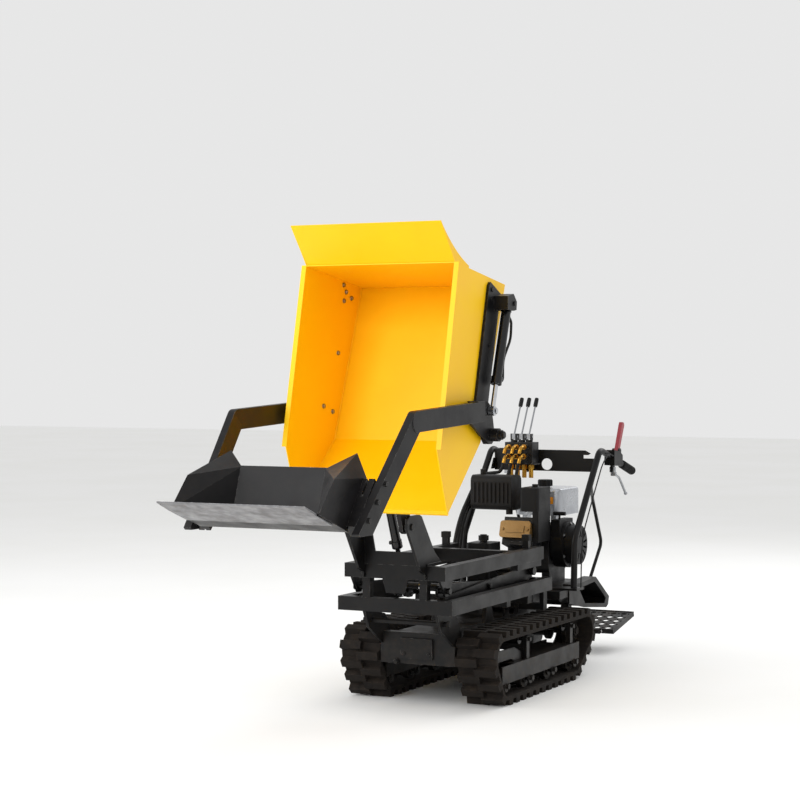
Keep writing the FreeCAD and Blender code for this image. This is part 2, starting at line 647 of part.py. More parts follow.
def skip_body():
    """Return the sheet-steel skip, its rim flanges, flare and flare gussets, tipped."""
    outline = skip_side_outline()
    inner = inset_outline(outline, SKIP_SHEET)
    rim_rear = (inner[1][0] - 15, inner[1][1] + 60)
    rim_front = (SKIP_RIM_FRONT[0] + 60, SKIP_RIM_FRONT[1] + 120)
    lip_open = (SKIP_LIP[0] - 30, SKIP_LIP[1] + 60)
    cavity = [inner[0], (inner[1][0], inner[1][1]), rim_rear, rim_front, lip_open, (inner[3][0], inner[3][1] + 12),
              inner[4]]
    solid = side_plate(outline, -SKIP_HALF, SKIP_HALF)
    body = solid.cut(side_plate(cavity, -SKIP_HALF + SKIP_SHEET, SKIP_HALF - SKIP_SHEET))
    parts = [body]
    depth = 3.0
    way = math.atan2(SKIP_RIM_REAR[1] - SKIP_RIM_FRONT[1], SKIP_RIM_REAR[0] - SKIP_RIM_FRONT[0])
    drop = (math.sin(way) * depth, -math.cos(way) * depth)
    flange = [SKIP_RIM_FRONT, SKIP_RIM_REAR, (SKIP_RIM_REAR[0] + drop[0], SKIP_RIM_REAR[1] + drop[1]),
              (SKIP_RIM_FRONT[0] + drop[0], SKIP_RIM_FRONT[1] + drop[1])]
    for x0, x1 in ((SKIP_HALF - 1, SKIP_HALF + RIM_FLANGE), (-SKIP_HALF - RIM_FLANGE, -SKIP_HALF + 1)):
        parts.append(side_plate(flange, x0, x1))
    flare_way = (FLARE_TOP[0] - SKIP_RIM_REAR[0], FLARE_TOP[1] - SKIP_RIM_REAR[1])
    length = math.hypot(*flare_way)
    off = (flare_way[1] / length * SKIP_SHEET, -flare_way[0] / length * SKIP_SHEET)
    flare = [(SKIP_RIM_REAR[0], SKIP_RIM_REAR[1] - 6), FLARE_TOP, (FLARE_TOP[0] + off[0], FLARE_TOP[1] + off[1]),
             (SKIP_RIM_REAR[0] + off[0] + 4, SKIP_RIM_REAR[1] + off[1] - 6)]
    parts.append(side_plate(flare, -FLARE_HALF, FLARE_HALF))
    parts.append(both(flare_gusset()).Solids[0])
    parts.append(both(flare_gusset()).Solids[1])
    bead = [(SKIP_LIP[0] - 2, SKIP_LIP[1] - 6), (SKIP_LIP[0] + 8, SKIP_LIP[1] - 9), (SKIP_LIP[0] + 10, SKIP_LIP[1] + 4),
            (SKIP_LIP[0], SKIP_LIP[1] + 5)]
    parts.append(side_plate(bead, -SKIP_HALF, SKIP_HALF))
    return tipped(fuse(parts))


def flare_gusset():
    """Return the hollow-edged gusset behind the flare, on the left side."""
    x0 = FLARE_HALF - 4
    top = Vector(x0, FLARE_TOP[0] + 2, FLARE_TOP[1] - 2)
    foot = Vector(x0, *GUSSET_LOW)
    chord = (top + foot) * 0.5
    middle = Vector(x0, chord.y - 16, chord.z + 6)
    rim = Vector(x0, SKIP_RIM_REAR[0], SKIP_RIM_REAR[1] - 2)
    wall = Vector(x0, SKIP_REAR_Y - 83, GUSSET_LOW[1])
    edges = [Part.Arc(top, middle, foot).toShape(), Part.LineSegment(foot, wall).toShape(),
             Part.LineSegment(wall, rim).toShape(), Part.LineSegment(rim, top).toShape()]
    return Part.Face(Part.Wire(edges)).extrude(Vector(4, 0, 0))


def skip_fittings():
    """Return the black steel fitted to the skip: rails, clevises, pivot plates and hinge lugs."""
    rail_x = SKIP_HALF + 0.3
    top = (30.0, 1752.0)
    bottom = (-102.0, 1246.0)
    half = 58.0
    side = []
    rail = side_plate([(top[0] - half, top[1] - 6), (top[0] - half + 16, top[1] + 10), (top[0] + half, top[1] - 34),
                       (bottom[0] + half, bottom[1]), (bottom[0] - half, bottom[1] + 20)], rail_x, rail_x + 12)
    side.append(rail)
    pivot = side_plate([(bottom[0] - half, bottom[1] + 20), (bottom[0] + half, bottom[1] + 20), (-14, 1160),
                        (-14, 1118), (-36, 1101), (-62, 1101), (-84, 1120), (-96, 1160)], rail_x, rail_x + 12)
    side.append(pivot)
    side.append(cyl_x(rail_x, 418, LOADER_PIVOT, 15))
    clevis_y, clevis_z = BARREL_PIN
    for x0 in (CYLINDER_X - 32, CYLINDER_X + 24):
        side.append(side_plate([(clevis_y - 66, clevis_z + 30), (clevis_y - 6, clevis_z + 40),
                                (clevis_y + 28, clevis_z + 8), (clevis_y + 24, clevis_z - 26),
                                (clevis_y - 6, clevis_z - 30), (clevis_y - 66, clevis_z - 26)], x0, x0 + 8))
    side.append(side_plate([(clevis_y - 66, clevis_z + 30), (clevis_y - 6, clevis_z + 40), (clevis_y - 2, clevis_z + 34),
                            (clevis_y - 64, clevis_z + 24)], rail_x, CYLINDER_X + 32))
    side.append(side_plate([(clevis_y - 66, clevis_z + 30), (clevis_y - 58, clevis_z + 30), (clevis_y - 58, clevis_z - 26),
                            (clevis_y - 66, clevis_z - 26)], rail_x, CYLINDER_X + 32))
    side.append(cyl_x(CYLINDER_X - 32, CYLINDER_X + 38, BARREL_PIN, 10))
    left = fuse(side)
    nut = hex_head((418, *LOADER_PIVOT), (1, 0, 0), 26, 10)
    washer = ring_x(405, 418, LOADER_PIVOT, 20, 15)
    left = fuse([left, nut, washer])
    bolts = []
    for y, z in ((top[0] - 30, top[1] - 20), (top[0] - 34, top[1] - 62), (-30, 1500), (-140, 1270), (-62, 1250)):
        bolts.append(hex_head((rail_x + 11, y, z), (1, 0, 0), 16, 6))
    left = fuse([left] + bolts)
    lugs = hinge_lugs()
    return group([left, mirror(left)] + lugs)


def hinge_lugs():
    """Return the skip's hinge lugs with their pins, and the dump cylinder's ears."""
    down = (SKIP_LIP[1] - SKIP_FLOOR_Z) / (SKIP_LIP[0] - SKIP_KNEE_Y)

    def under(y):
        """Return the height of the slope's underside at a Y, with the skip down."""
        return SKIP_LIP[1] + down * (y - SKIP_LIP[0]) - 0.3

    ear_y = rotate_about_x(DUMP_HIGH, HINGE, -TIP_ANGLE)
    pieces = []
    for way in (1, -1):
        xs = sorted((way * 100.0, way * 118.0))
        lug = side_plate([(-284, under(-284)), (-170, under(-170)), (-196, 768), (HINGE[0] + 12, HINGE[1] - 28),
                          (HINGE[0] - 14, HINGE[1] - 26), (HINGE[0] - 28, HINGE[1] - 8),
                          (HINGE[0] - 26, HINGE[1] + 18), (HINGE[0] - 8, HINGE[1] + 30)], xs[0], xs[1])
        pins = sorted((way * 96.0, way * 152.0))
        pieces.append(tipped(fuse([lug, cyl_x(pins[0], pins[1], HINGE, 14)])))
    for x in (-36.0, 26.0):
        ear = side_plate([(ear_y[0] - 40, under(ear_y[0] - 40)), (ear_y[0] + 60, under(ear_y[0] + 60)),
                          (ear_y[0] + 24, ear_y[1] - 16), (ear_y[0] + 8, ear_y[1] - 24), (ear_y[0] - 12, ear_y[1] - 24),
                          (ear_y[0] - 28, ear_y[1] - 8)], x, x + 10)
        pieces.append(tipped(ear))
    return pieces


# ---------------------------------------------------------------- loader
def prism(base, way, depth, width):
    """Return a rectangular bar from a point along a vector, upright in the Y-Z plane."""
    side = Vector(0, -way.z, way.y).normalize() * (depth / 2)
    across = Vector(width / 2, 0, 0)
    corners = [base + side + across, base + side - across, base - side - across, base - side + across]
    return Part.Face(Part.makePolygon(corners + corners[:1])).extrude(way)


def front_leg(extra=0.0):
    """Return the leaning front leg of a loader arm, thicker by an extra gap on each side."""
    bend = Vector(LOADER_X, *LOADER_BEND)
    foot = Vector(*LOADER_FOOT)
    leg = prism(bend, foot - bend, LOADER_TUBE_D + 2 * extra, LOADER_TUBE_W + 2 * extra)
    below = box(300, 420, foot.y - 120, foot.y + 120, foot.z - 120, foot.z + 18 - extra)
    return leg.cut(below)


def leg_bolts():
    """Return the bolts that hold the shovel brackets on the left leg."""
    bend = Vector(LOADER_X, *LOADER_BEND)
    foot = Vector(*LOADER_FOOT)
    bolts = []
    for part in (0.56, 0.71, 0.86):
        at = bend + (foot - bend) * part
        bolts.append(hex_head((at.x + LOADER_TUBE_W / 2 - 1, at.y - 16, at.z + 14), (1, 0, 0), 18, 9))
    return bolts


def loader_arms():
    """Return both loader arms: bent tube, lever plate, pivot boss and bolts."""
    x0 = LOADER_X - LOADER_TUBE_W / 2
    x1 = LOADER_X + LOADER_TUBE_W / 2
    bend = Vector(LOADER_X, *LOADER_BEND)
    rear = Vector(LOADER_X, *LOADER_REAR)
    top = prism(rear, bend - rear, LOADER_TUBE_D, LOADER_TUBE_W)
    knee = cyl_x(x0, x1, LOADER_BEND, LOADER_TUBE_D / 2)
    lever = side_plate([(-211, 1280), (-82, 1276), (-40, 1252), (-30, 1215), (-12, 1150), (-14, 1118), (-36, 1101),
                        (-62, 1101), (-163, 1146), (-256, 1196), (-256, 1279)], 355, 365.5)
    joint = box(355, x1, -256, -190, 1197, 1278)
    boss = cyl_x(353, 404.5, LOADER_PIVOT, 27)
    stub = cyl_x(364, 366.5, ROD_PIN, 18)
    arm = fuse([top, knee, front_leg(), lever, joint, boss, stub] + leg_bolts())
    return both(arm.cut(cyl_x(300, 430, LOADER_PIVOT, 15 + RUN)))


def shovel_bracket():
    """Return the left folded bracket between the shovel and its arm."""
    outline = [(-1046, 1010), (-1000, 968), (-1140, 806), (-1190, 846)]
    core = [(-1040, 1020), (-990, 962), (-1132, 796), (-1182, 850)]
    solid = side_plate(outline, 294, 345)
    solid = solid.cut(side_plate(core, 314, 322))
    return solid.cut(front_leg(0.3))


def solid_of(corners, faces):
    """Return a solid from named corner points and triangles of their names."""
    shells = []
    for face in faces:
        points = [Vector(*corners[name]) for name in face]
        shells.append(Part.Face(Part.makePolygon(points + points[:1])))
    solid = Part.Solid(Part.Shell(shells))
    if solid.Volume < 0:
        solid.reverse()
    return solid


def shovel_corner():
    """Return the left corner box of the shovel: splayed front, leaning cheek, open behind."""
    corners = {"c": (177, -1112, 1046), "h": (177, -1190, 826), "d": (305, -1401, 901), "e": (305, -1285, 1020),
               "f": (268, -1037, 1102), "b": (305, -1188, 826), "g": (298, -1020, 1010)}
    faces = ("chd", "cde", "cef", "dbg", "dge", "egf", "hbd", "cfg", "cgb", "cbh")
    block = solid_of(corners, faces)
    centre = Vector(262, -1178, 950)
    hollow_corners = {}
    for name, at in corners.items():
        moved = centre + (Vector(*at) - centre) * 0.9 + Vector(0, 14, -2)
        if name in "cfgbh":
            moved = moved + Vector(0, 60, -26)
        hollow_corners[name] = tuple(moved)
    return block.cut(solid_of(hollow_corners, faces))


def shovel():
    """Return the shovel: back plate, floor, corner boxes and arm brackets."""
    tip = (-1406.3, 905.6)
    floor_rear = (-1189.0, 830.0)
    back_top = (-1115.0, 1050.0)
    parts = [side_plate([tip, floor_rear, (floor_rear[0] + 2, floor_rear[1] - 5.5), (tip[0] + 1, tip[1] - 5.3)],
                        -311, 311)]
    parts.append(side_plate([(floor_rear[0] - 2, floor_rear[1] - 2), back_top, (back_top[0] + 5, back_top[1] - 1),
                             (floor_rear[0] + 4, floor_rear[1] - 4)], -184, 184))
    corner = shovel_corner()
    bracket = shovel_bracket()
    parts.extend([corner, mirror(corner), bracket, mirror(bracket)])
    return fuse(parts)


def cutting_plate():
    """Return the bolt-on wear plate along the shovel's edge."""
    tip = (-1495.0, 936.5)
    root = (-1296.0, 862.0)
    base = side_plate([tip, (-1407, 904.3), (-1408, 899), root, (root[0] + 2, root[1] - 7), (-1412, 897), (tip[0] + 2, tip[1] - 6)],
                      -303, 303)
    return base


# ---------------------------------------------------------------- hydraulic cylinders
def along(start, end, distance):
    """Return the Y, Z point at a distance from the start towards the end."""
    length = math.hypot(end[0] - start[0], end[1] - start[1])
    return (start[0] + (end[0] - start[0]) * distance / length, start[1] + (end[1] - start[1]) * distance / length)


def barrel(pin, far, x, radius, length, pin_r, eye_half):
    """Return a cylinder barrel with its eye round a pin."""
    start = along(pin, far, 26)
    end = along(pin, far, length)
    body = between((x, *start), (x, *end), radius)
    gland = between((x, *along(pin, far, length - 26)), (x, *along(pin, far, length + 6)), radius + 3)
    cap = between((x, *along(pin, far, 22)), (x, *along(pin, far, 36)), radius + 2)
    eye = cyl_x(x - eye_half, x + eye_half, pin, pin_r + 10)
    neck = between((x, *along(pin, far, pin_r + 4)), (x, *start), eye_half)
    shape = fuse([body, gland, cap, eye, neck])
    bore = between((x, *along(pin, far, 32)), (x, *along(pin, far, length + 10)), radius - 5)
    return shape.cut(bore).cut(cyl_x(x - eye_half - 1, x + eye_half + 1, pin, pin_r + RUN))


def rod(pin, far, x, size, rod_r, eye_r, eye_half):
    """Return a piston rod with its piston and its closed eye at the far pin."""
    barrel_r, _, head_at = size
    total = math.hypot(far[0] - pin[0], far[1] - pin[1])
    head = along(pin, far, head_at)
    piston = between((x, *head), (x, *along(pin, far, head_at + 20)), barrel_r - 5 - RUN)
    bar = between((x, *head), (x, *along(pin, far, total - eye_r + 4)), rod_r)
    eye = cyl_x(x - eye_half, x + eye_half, far, eye_r)
    return fuse([piston, bar, eye])


LOADER_BARREL = (20.0, 345.0, 110.0)   # radius, length from the pin, and where the rod's head rests
DUMP_BARREL = (19.5, 250.0, 202.0)
LIFT_BARREL = (25.0, 430.0, 137.0)


def gland_bush(pin, far, x, barrel_r, length, rod_r):
    """Return the gland that guides the rod in the barrel's mouth."""
    bush = between((x, *along(pin, far, length - 24)), (x, *along(pin, far, length + 4)), barrel_r - 4.9)
    return bush.cut(between((x, *along(pin, far, length - 40)), (x, *along(pin, far, length + 20)), rod_r + RUN))


def ports(pin, far, x, radius, length, reach):
    """Return two port bosses on a barrel."""
    pieces = []
    for distance in (46.0, length - 14):
        at = along(pin, far, distance)
        pieces.append(cyl((x, at[0], at[1]), (reach[0], reach[1], reach[2]), 8, radius + 12))
    return pieces


def loader_barrels():
    """Return both loader barrels."""
    radius, length, _ = LOADER_BARREL
    shell = barrel(BARREL_PIN, ROD_PIN, CYLINDER_X, radius, length, 10, 13)
    bosses = ports(BARREL_PIN, ROD_PIN, CYLINDER_X, radius, length, (0, 0.95, -0.3))
    bore = between((CYLINDER_X, *along(BARREL_PIN, ROD_PIN, 32)), (CYLINDER_X, *along(BARREL_PIN, ROD_PIN, length + 10)),
                   radius - 5)
    shape = fuse([shell] + bosses).cut(bore)
    shape = fuse([shape, gland_bush(BARREL_PIN, ROD_PIN, CYLINDER_X, radius, length, 10)])
    return both(shape)


def loader_rods():
    """Return both loader rods; each eye carries its own pin head."""
    shape = rod(BARREL_PIN, ROD_PIN, CYLINDER_X, LOADER_BARREL, 10, 20, 12)
    head = hex_head((CYLINDER_X + 12, *ROD_PIN), (1, 0, 0), 22, 9)
    stub = cyl_x(366.9, CYLINDER_X, ROD_PIN, 14)
    return both(fuse([shape, head, stub]))


def dump_barrel():
    """Return the dump barrel, which hangs from the skip by its own closed eye."""
    radius, length, _ = DUMP_BARREL
    shell = barrel(DUMP_HIGH, DUMP_LOW, 0, radius, length, 10, 22)
    bore = between((0, *along(DUMP_HIGH, DUMP_LOW, 32)), (0, *along(DUMP_HIGH, DUMP_LOW, length + 10)), radius - 5)
    bosses = ports(DUMP_HIGH, DUMP_LOW, 0, radius, length, (-1, 0, 0))
    shape = fuse([shell, cyl_x(-25.6, 25.6, DUMP_HIGH, 12)] + bosses).cut(bore)
    return fuse([shape, gland_bush(DUMP_HIGH, DUMP_LOW, 0, radius, length, 11)])


def dump_rod():
    """Return the dump rod, with the cross pin in its eye."""
    shape = rod(DUMP_HIGH, DUMP_LOW, 0, DUMP_BARREL, 11, 17, 14)
    return fuse([shape, cyl_x(-30, 30, DUMP_LOW, 8)])


def lift_barrel():
    """Return the lift barrel, pinned to the lower frame, with its trunnion pin."""
    radius, length, _ = LIFT_BARREL
    shell = barrel(LIFT_BASE, lift_lug(), 0, radius, length, 10, 22)
    bore = between((0, *along(LIFT_BASE, lift_lug(), 32)), (0, *along(LIFT_BASE, lift_lug(), length + 10)), radius - 5)
    bosses = ports(LIFT_BASE, lift_lug(), 0, radius, length, (-1, 0, 0))
    shape = fuse([shell] + bosses).cut(bore)
    pin = cyl_x(-42, 42, LIFT_BASE, 10)
    return fuse([shape, gland_bush(LIFT_BASE, lift_lug(), 0, radius, length, 12), pin])


def lift_rod():
    """Return the lift rod."""
    return rod(LIFT_BASE, lift_lug(), 0, LIFT_BARREL, 12, 17, 13)


# ---------------------------------------------------------------- engine and drive
ENGINE_X = 0.0             # middle of the crankcase
CRANK = (1332.0, 572.0)
LEAN = 17.0                # the cylinder leans this much above level
DECK_Z = 391.3
FILLER = (3.0, 1430.0)     # X and Y of the fuel filler


def engine_deck():
    """Return the folded deck plate that the engine and tank stand on."""
    plate = box(-185, 185, 886, 1478, 384.5, DECK_Z)
    slots = []
    for x in (-70.0, 90.0):
        for y in (1270.0, 1390.0):
            slots.append(cyl((x, y, 380), (0, 0, 1), 5, 20))
    for slot in slots:
        plate = plate.cut(slot)
    return plate


def leaning(shape):
    """Return a shape made along -Y from the crankshaft, turned up by the cylinder's lean."""
    turned = shape.copy()
    turned.rotate(Vector(0, *CRANK), Vector(1, 0, 0), -LEAN)
    return turned


def engine_block():
    """Return the crankcase and the finned, leaning cylinder."""
    x0, x1 = ENGINE_X - 105, ENGINE_X + 105
    case = box(x0, x1, 1225, 1440, 440, 668)
    edges = [e for e in case.Edges if abs(e.Vertexes[0].X - e.Vertexes[1].X) > 100]
    case = case.makeFillet(24, edges)
    pieces = [case]
    for x in (x0, x1 - 40):
        pieces.append(box(x, x + 40, 1235, 1430, DECK_Z + 0.3, 480))
    middle = ENGINE_X + 9
    pieces.append(leaning(box(middle - 52, middle + 52, CRANK[0] - 268, CRANK[0] - 60, CRANK[1] - 52, CRANK[1] + 52)))
    for i in range(9):
        y = CRANK[0] - 266 + 15 * i
        pieces.append(leaning(box(middle - 74, middle + 74, y, y + 5, CRANK[1] - 66, CRANK[1] + 66)))
    pieces.append(cyl_x(x1 - 1, x1 + 7, CRANK, 80))
    return fuse(pieces)


def valve_cover():
    """Return the valve cover on the front of the cylinder head."""
    middle = ENGINE_X + 9
    cover = box(middle - 76, middle + 76, CRANK[0] - 304, CRANK[0] - 268.3, CRANK[1] - 40, CRANK[1] + 40)
    edges = [e for e in cover.Edges if abs(e.Vertexes[0].Y - e.Vertexes[1].Y) > 20]
    cover = cover.makeFillet(14, edges)
    pad = box(middle - 46, middle + 46, CRANK[0] - 309, CRANK[0] - 303, CRANK[1] - 16, CRANK[1] + 16)
    shape = fuse([cover, pad])
    for x in (middle - 62, middle + 62):
        shape = shape.fuse(hex_head((x, CRANK[0] - 304, CRANK[1]), (0, -1, 0), 13, 6))
    return leaning(shape)


def muffler():
    """Return the muffler can with its pressed ribs, inlet and outlet."""
    can = box(ENGINE_X - 236, ENGINE_X - 30, 1085, 1212, 742, 905)
    edges = [e for e in can.Edges if abs(e.Vertexes[0].X - e.Vertexes[1].X) > 150]
    can = can.makeFillet(30, edges)
    ribs = []
    for i in range(9):
        x = ENGINE_X - 222 + 21 * i
        ribs.append(box(x, x + 8, 1079, 1086, 776, 870))
    inlet = cyl((ENGINE_X - 52, 1120, 722.5), (0, 0, 1), 16, 24)
    outlet = cyl((ENGINE_X - 200, 1150, 900), (0, 0, 1), 13, 30)
    return fuse([can, inlet, outlet] + ribs)


def air_cleaner():
    """Return the air cleaner, with the carburettor shroud below its left end."""
    shell = box(ENGINE_X + 24, ENGINE_X + 118, 1060, 1222, 742, 852)
    edges = [e for e in shell.Edges if abs(e.Vertexes[0].Z - e.Vertexes[1].Z) > 100]
    shell = shell.makeFillet(14, edges)
    shroud = box(ENGINE_X + 88, ENGINE_X + 118, 1064, 1210, 600, 744)
    knob = cyl((ENGINE_X + 70, 1140, 850), (0, 0, 1), 14, 16)
    return fuse([shell, shroud, knob])


def fuel_tank():
    """Return the fuel tank above the crankcase, on its two legs."""
    tank = box(ENGINE_X - 115, ENGINE_X + 120, 1325, 1600, 706, 834)
    edges = [e for e in tank.Edges if abs(e.Vertexes[0].Z - e.Vertexes[1].Z) > 100]
    tank = tank.makeFillet(38, edges)
    top = [e for e in tank.Edges if e.BoundBox.ZMin > 830]
    tank = tank.makeFillet(16, top)
    neck = cyl((*FILLER, 832), (0, 0, 1), 24, 8)
    legs = [box(ENGINE_X + x, ENGINE_X + x + 26, 1360, 1410, 668.3, 707) for x in (-86, 60)]
    return fuse([tank, neck] + legs)


def fuel_cap():
    """Return the screw cap of the fuel tank, with its grip ribs."""
    cap = cyl((*FILLER, 840.3), (0, 0, 1), 33, 31)
    ribs = []
    for i in range(12):
        turn = math.radians(30 * i)
        ribs.append(cyl((FILLER[0] + 33 * math.cos(turn), FILLER[1] + 33 * math.sin(turn), 842), (0, 0, 1), 3, 26))
    return fuse([cap] + ribs)


def recoil_housing():
    """Return the fan shroud and the slotted recoil starter housing."""
    x0 = ENGINE_X + 112.3
    shroud = cyl_x(x0, x0 + 60, CRANK, 108)
    duct = box(x0, x0 + 44, CRANK[0] - 100, CRANK[0] + 70, CRANK[1] + 40, CRANK[1] + 122)
    cup = cyl_x(x0 + 60, x0 + 110, CRANK, 92)
    shape = fuse([shroud, duct, cup]).cut(cyl_x(x0 - 1, x0 + 98, CRANK, 72))
    for i in range(14):
        slot = box(x0 + 66, x0 + 130, CRANK[0] + 40, CRANK[0] + 84, CRANK[1] - 5, CRANK[1] + 5)
        slot.rotate(Vector(0, *CRANK), Vector(1, 0, 0), 360.0 / 14 * (i + 0.5))
        shape = shape.cut(slot)
    return shape


def recoil_grip():
    """Return the pull handle of the recoil starter, with its stem."""
    x = ENGINE_X + 140
    stem = cyl((x, CRANK[0] - 60, CRANK[1] + 122.3), (0, 0, 1), 5, 22)
    grip = between((x - 30, CRANK[0] - 60, CRANK[1] + 150), (x + 30, CRANK[0] - 60, CRANK[1] + 150), 9)
    return fuse([stem, grip])


def gearbox():
    """Return the transmission housing between the sprockets, with its axle tubes."""
    case = box(-95, 95, 975, 1175, 130, 344)
    edges = [e for e in case.Edges if abs(e.Vertexes[0].X - e.Vertexes[1].X) > 100]
    case = case.makeFillet(30, edges)
    tubes = cyl_x(-178, 178, SPROCKET[:2], 32)
    flange = [cyl_x(160, 178, SPROCKET[:2], 46), cyl_x(-178, -160, SPROCKET[:2], 46)]
    shape = fuse([case, tubes] + flange)
    return shape.cut(cyl_x(-200, 200, SPROCKET[:2], 17 + RUN))


def hydraulic_pump():
    """Return the gear pump with its flange, in front of the engine."""
    body = box(-40, 60, 960, 1040, DECK_Z + 0.3, 470)
    flange = box(-50, 70, 1040, 1052, DECK_Z + 0.3, 480)
    port = [cyl((-10, 1000, 470), (0, 0, 1), 14, 16), cyl((35, 1000, 470), (0, 0, 1), 12, 16)]
    return fuse([body, flange] + port)


def hydraulic_tank():
    """Return the hydraulic oil tank, right of the pump, with its filler neck."""
    tank = box(-180, -62, 905, 1050, DECK_Z + 0.3, 600)
    edges = [e for e in tank.Edges if abs(e.Vertexes[0].Z - e.Vertexes[1].Z) > 100]
    tank = tank.makeFillet(18, edges)
    neck = cyl((-120, 975, 599), (0, 0, 1), 17, 10)
    return fuse([tank, neck])


def tank_cap():
    """Return the breather cap of the hydraulic tank."""
    return fuse([cyl((-120, 975, 609.3), (0, 0, 1), 24, 22), cyl((-120, 975, 631.3), (0, 0, 1), 16, 5)])


# ---------------------------------------------------------------- operator's end
def handle_points(way):
    """Return the route of one handlebar tube."""
    x = way * HANDLE_X
    return [(x, 1100, 386), (x, 1110, 621), (x, 1436, 1020), (x, 1881, 900)]


def handlebar():
    """Return both handle tubes with their feet and stays."""
    sides = []
    for way in (1, -1):
        tube = tube_path(handle_points(way), HANDLE_R, HANDLE_BENDS)
        xs = sorted((way * 185.3, way * (HANDLE_X + 30)))
        foot = box(xs[0], xs[1], 1060, 1150, 385.3, 394)
        stay = tube_path([(way * HANDLE_X, 1314, 870), (way * 205, 1540, 772), (way * 205, 1660, 556),
                          (way * 205, 1512, 402)], 8.0, [60.0, 40.0])
        sides.append(fuse([tube, foot, stay]))
    return group(sides)


def hand_grips():
    """Return the two ribbed rubber grips."""
    start, end = handle_points(1)[2], handle_points(1)[3]
    b = Vector(*end)
    way = (b - Vector(*start)).normalize()
    inner = b - way * 150
    shell = Part.makeCylinder(19, 158, inner, way)
    for i in range(12):
        shell = shell.fuse(Part.makeCylinder(21, 6, inner + way * (8 + 12.5 * i), way))
    return both(shell.cut(Part.makeCylinder(HANDLE_R + 0.3, 150.3, inner, way)))


def operator_panel():
    """Return the cross panel between the handles, with its round hole, hook and valve shelf."""
    z0, z1 = 913.0, 1015.0
    half = HANDLE_X - HANDLE_R - 0.3
    outline = [(-half, z0), (half, z0), (half, 977), (197, 977), (197, 993), (222, 993), (234, 1001), (206, z1),
               (-half, z1)]
    plate = cross_plate(outline, PANEL_Y, PANEL_Y + 5)
    plate = plate.cut(cyl((9, PANEL_Y - 10, 945.5), (0, 1, 0), 28, 30))
    shelf = box(-184, -22, PANEL_Y - 90, PANEL_Y + 1, 945, 950)
    ends = []
    for way in (1, -1):
        xs = sorted((way * (half - 8), way * half))
        ends.append(side_plate([(1388, 920), (1436, 920), (1436, 972), (1416, 972)], xs[0], xs[1]))
    return fuse([plate, shelf] + ends)


LEVER_XS = (-142.0, -103.0, -64.0)
LEVER_PIVOT = (1390.0, 1078.0)
CLUTCH_PIVOT = (1668.0, 1004.0)
BRAKE_PIVOT = (1611.0, 918.0)


def control_valve():
    """Return the three-spool control valve on the operator's panel."""
    body = box(-174, -32, 1350, 1430, 950.3, 1052)
    caps = []
    for x in LEVER_XS:
        caps.append(cyl((x, LEVER_PIVOT[0], 1052), (0, 0, 1), 17, 10))
        for side in (-15.0, 9.0):
            caps.append(box(x + side, x + side + 6, 1378, 1402, 1060, 1092))
        caps.append(cyl((x, 1350, 985), (0, -1, 0), 15, 16))
        caps.append(cyl((x, 1350, 1030), (0, -1, 0), 12, 14))
    shape = fuse([body] + caps)
    for x in LEVER_XS:
        shape = shape.cut(cyl_x(x - 20, x + 20, LEVER_PIVOT, 5 + RUN))
    return shape


def valve_lever(x):
    """Return one hand lever of the control valve, with its cross pin and knob."""
    y, z = LEVER_PIVOT
    hub = box(x - 8.5, x + 8.5, y - 11, y + 11, z - 12, z + 14)
    pin = cyl_x(x - 17, x + 17, LEVER_PIVOT, 5)
    top = (x, y + 78, z + 150)
    stem = between((x, y, z + 10), top, 4)
    way = Vector(0, 78, 140).normalize()
    knob = Part.makeCylinder(8.5, 42, Vector(*top) - way * 6, way)
    return fuse([hub, pin, stem, knob])


def valve_fittings():
    """Return the plated elbows and the adapters under the control valve."""
    pieces = []
    for x in LEVER_XS:
        for z, reach in ((985.0, 44.0), (1030.0, 36.0)):
            nut = hex_head((x, 1333.7 if z < 1000 else 1335.7, z), (0, -1, 0), 24, 16)
            turn = tube_path([(x, 1322, z), (x, 1322 - reach, z), (x - 6, 1322 - reach - 6, z - 30)], 9, 18)
            pieces.append(fuse([nut, turn]))
    for i in range(4):
        at = (-160.0 + 35 * i, 1392)
        pieces.append(fuse([hex_head((*at, 944.7), (0, 0, -1), 26, 22), cyl((*at, 930), (0, 0, -1), 11, 50)]))
    return group(pieces)


def clutch_lever():
    """Return the red clutch lever on the left handle."""
    hub = cyl_x(HANDLE_X - 11, HANDLE_X + 11, CLUTCH_PIVOT, 13)
    blade = side_plate([(1657, 1006), (1681, 998), (1752, 1128), (1746, 1141), (1728, 1144), (1718, 1130)],
                       HANDLE_X - 9, HANDLE_X + 9)
    return fuse([hub, blade]).cut(cyl_x(200, 340, CLUTCH_PIVOT, 5 + RUN))


def switch_block():
    """Return the clamp and switch housing on the left handle, and the plain clamp on the right."""
    pieces = []
    for way in (1, -1):
        x = way * HANDLE_X
        block = side_plate([(1568, 1014), (1640, 1006), (1684, 986), (1684, 932), (1568, 940)], x - 26, x + 26)
        block = block.cut(tube_path(handle_points(way), HANDLE_R + 0.25, HANDLE_BENDS))
        lug = side_plate([(1595, 906), (1614, 906), (1627, 922), (1627, 945), (1595, 945)], x - 6, x + 6)
        lug = lug.cut(cyl_x(x - 10, x + 10, BRAKE_PIVOT, 4 + RUN))
        shapes = [block, lug]
        if way == 1:
            for x0 in (HANDLE_X - 18, HANDLE_X + 12):
                shapes.append(side_plate([(1650, 975), (1650, 1012), (1660, 1018), (1676, 1018), (1684, 1010),
                                          (1684, 975)], x0, x0 + 6))
            shapes.append(cyl_x(HANDLE_X - 20, HANDLE_X + 20, CLUTCH_PIVOT, 5))
            block = fuse(shapes)
            space = cyl_x(HANDLE_X - 11.9, HANDLE_X + 11.9, CLUTCH_PIVOT, 14.5)
            block = block.cut(space.cut(cyl_x(200, 340, CLUTCH_PIVOT, 5)))
        else:
            block = fuse(shapes)
        pieces.append(block)
    return group(pieces)


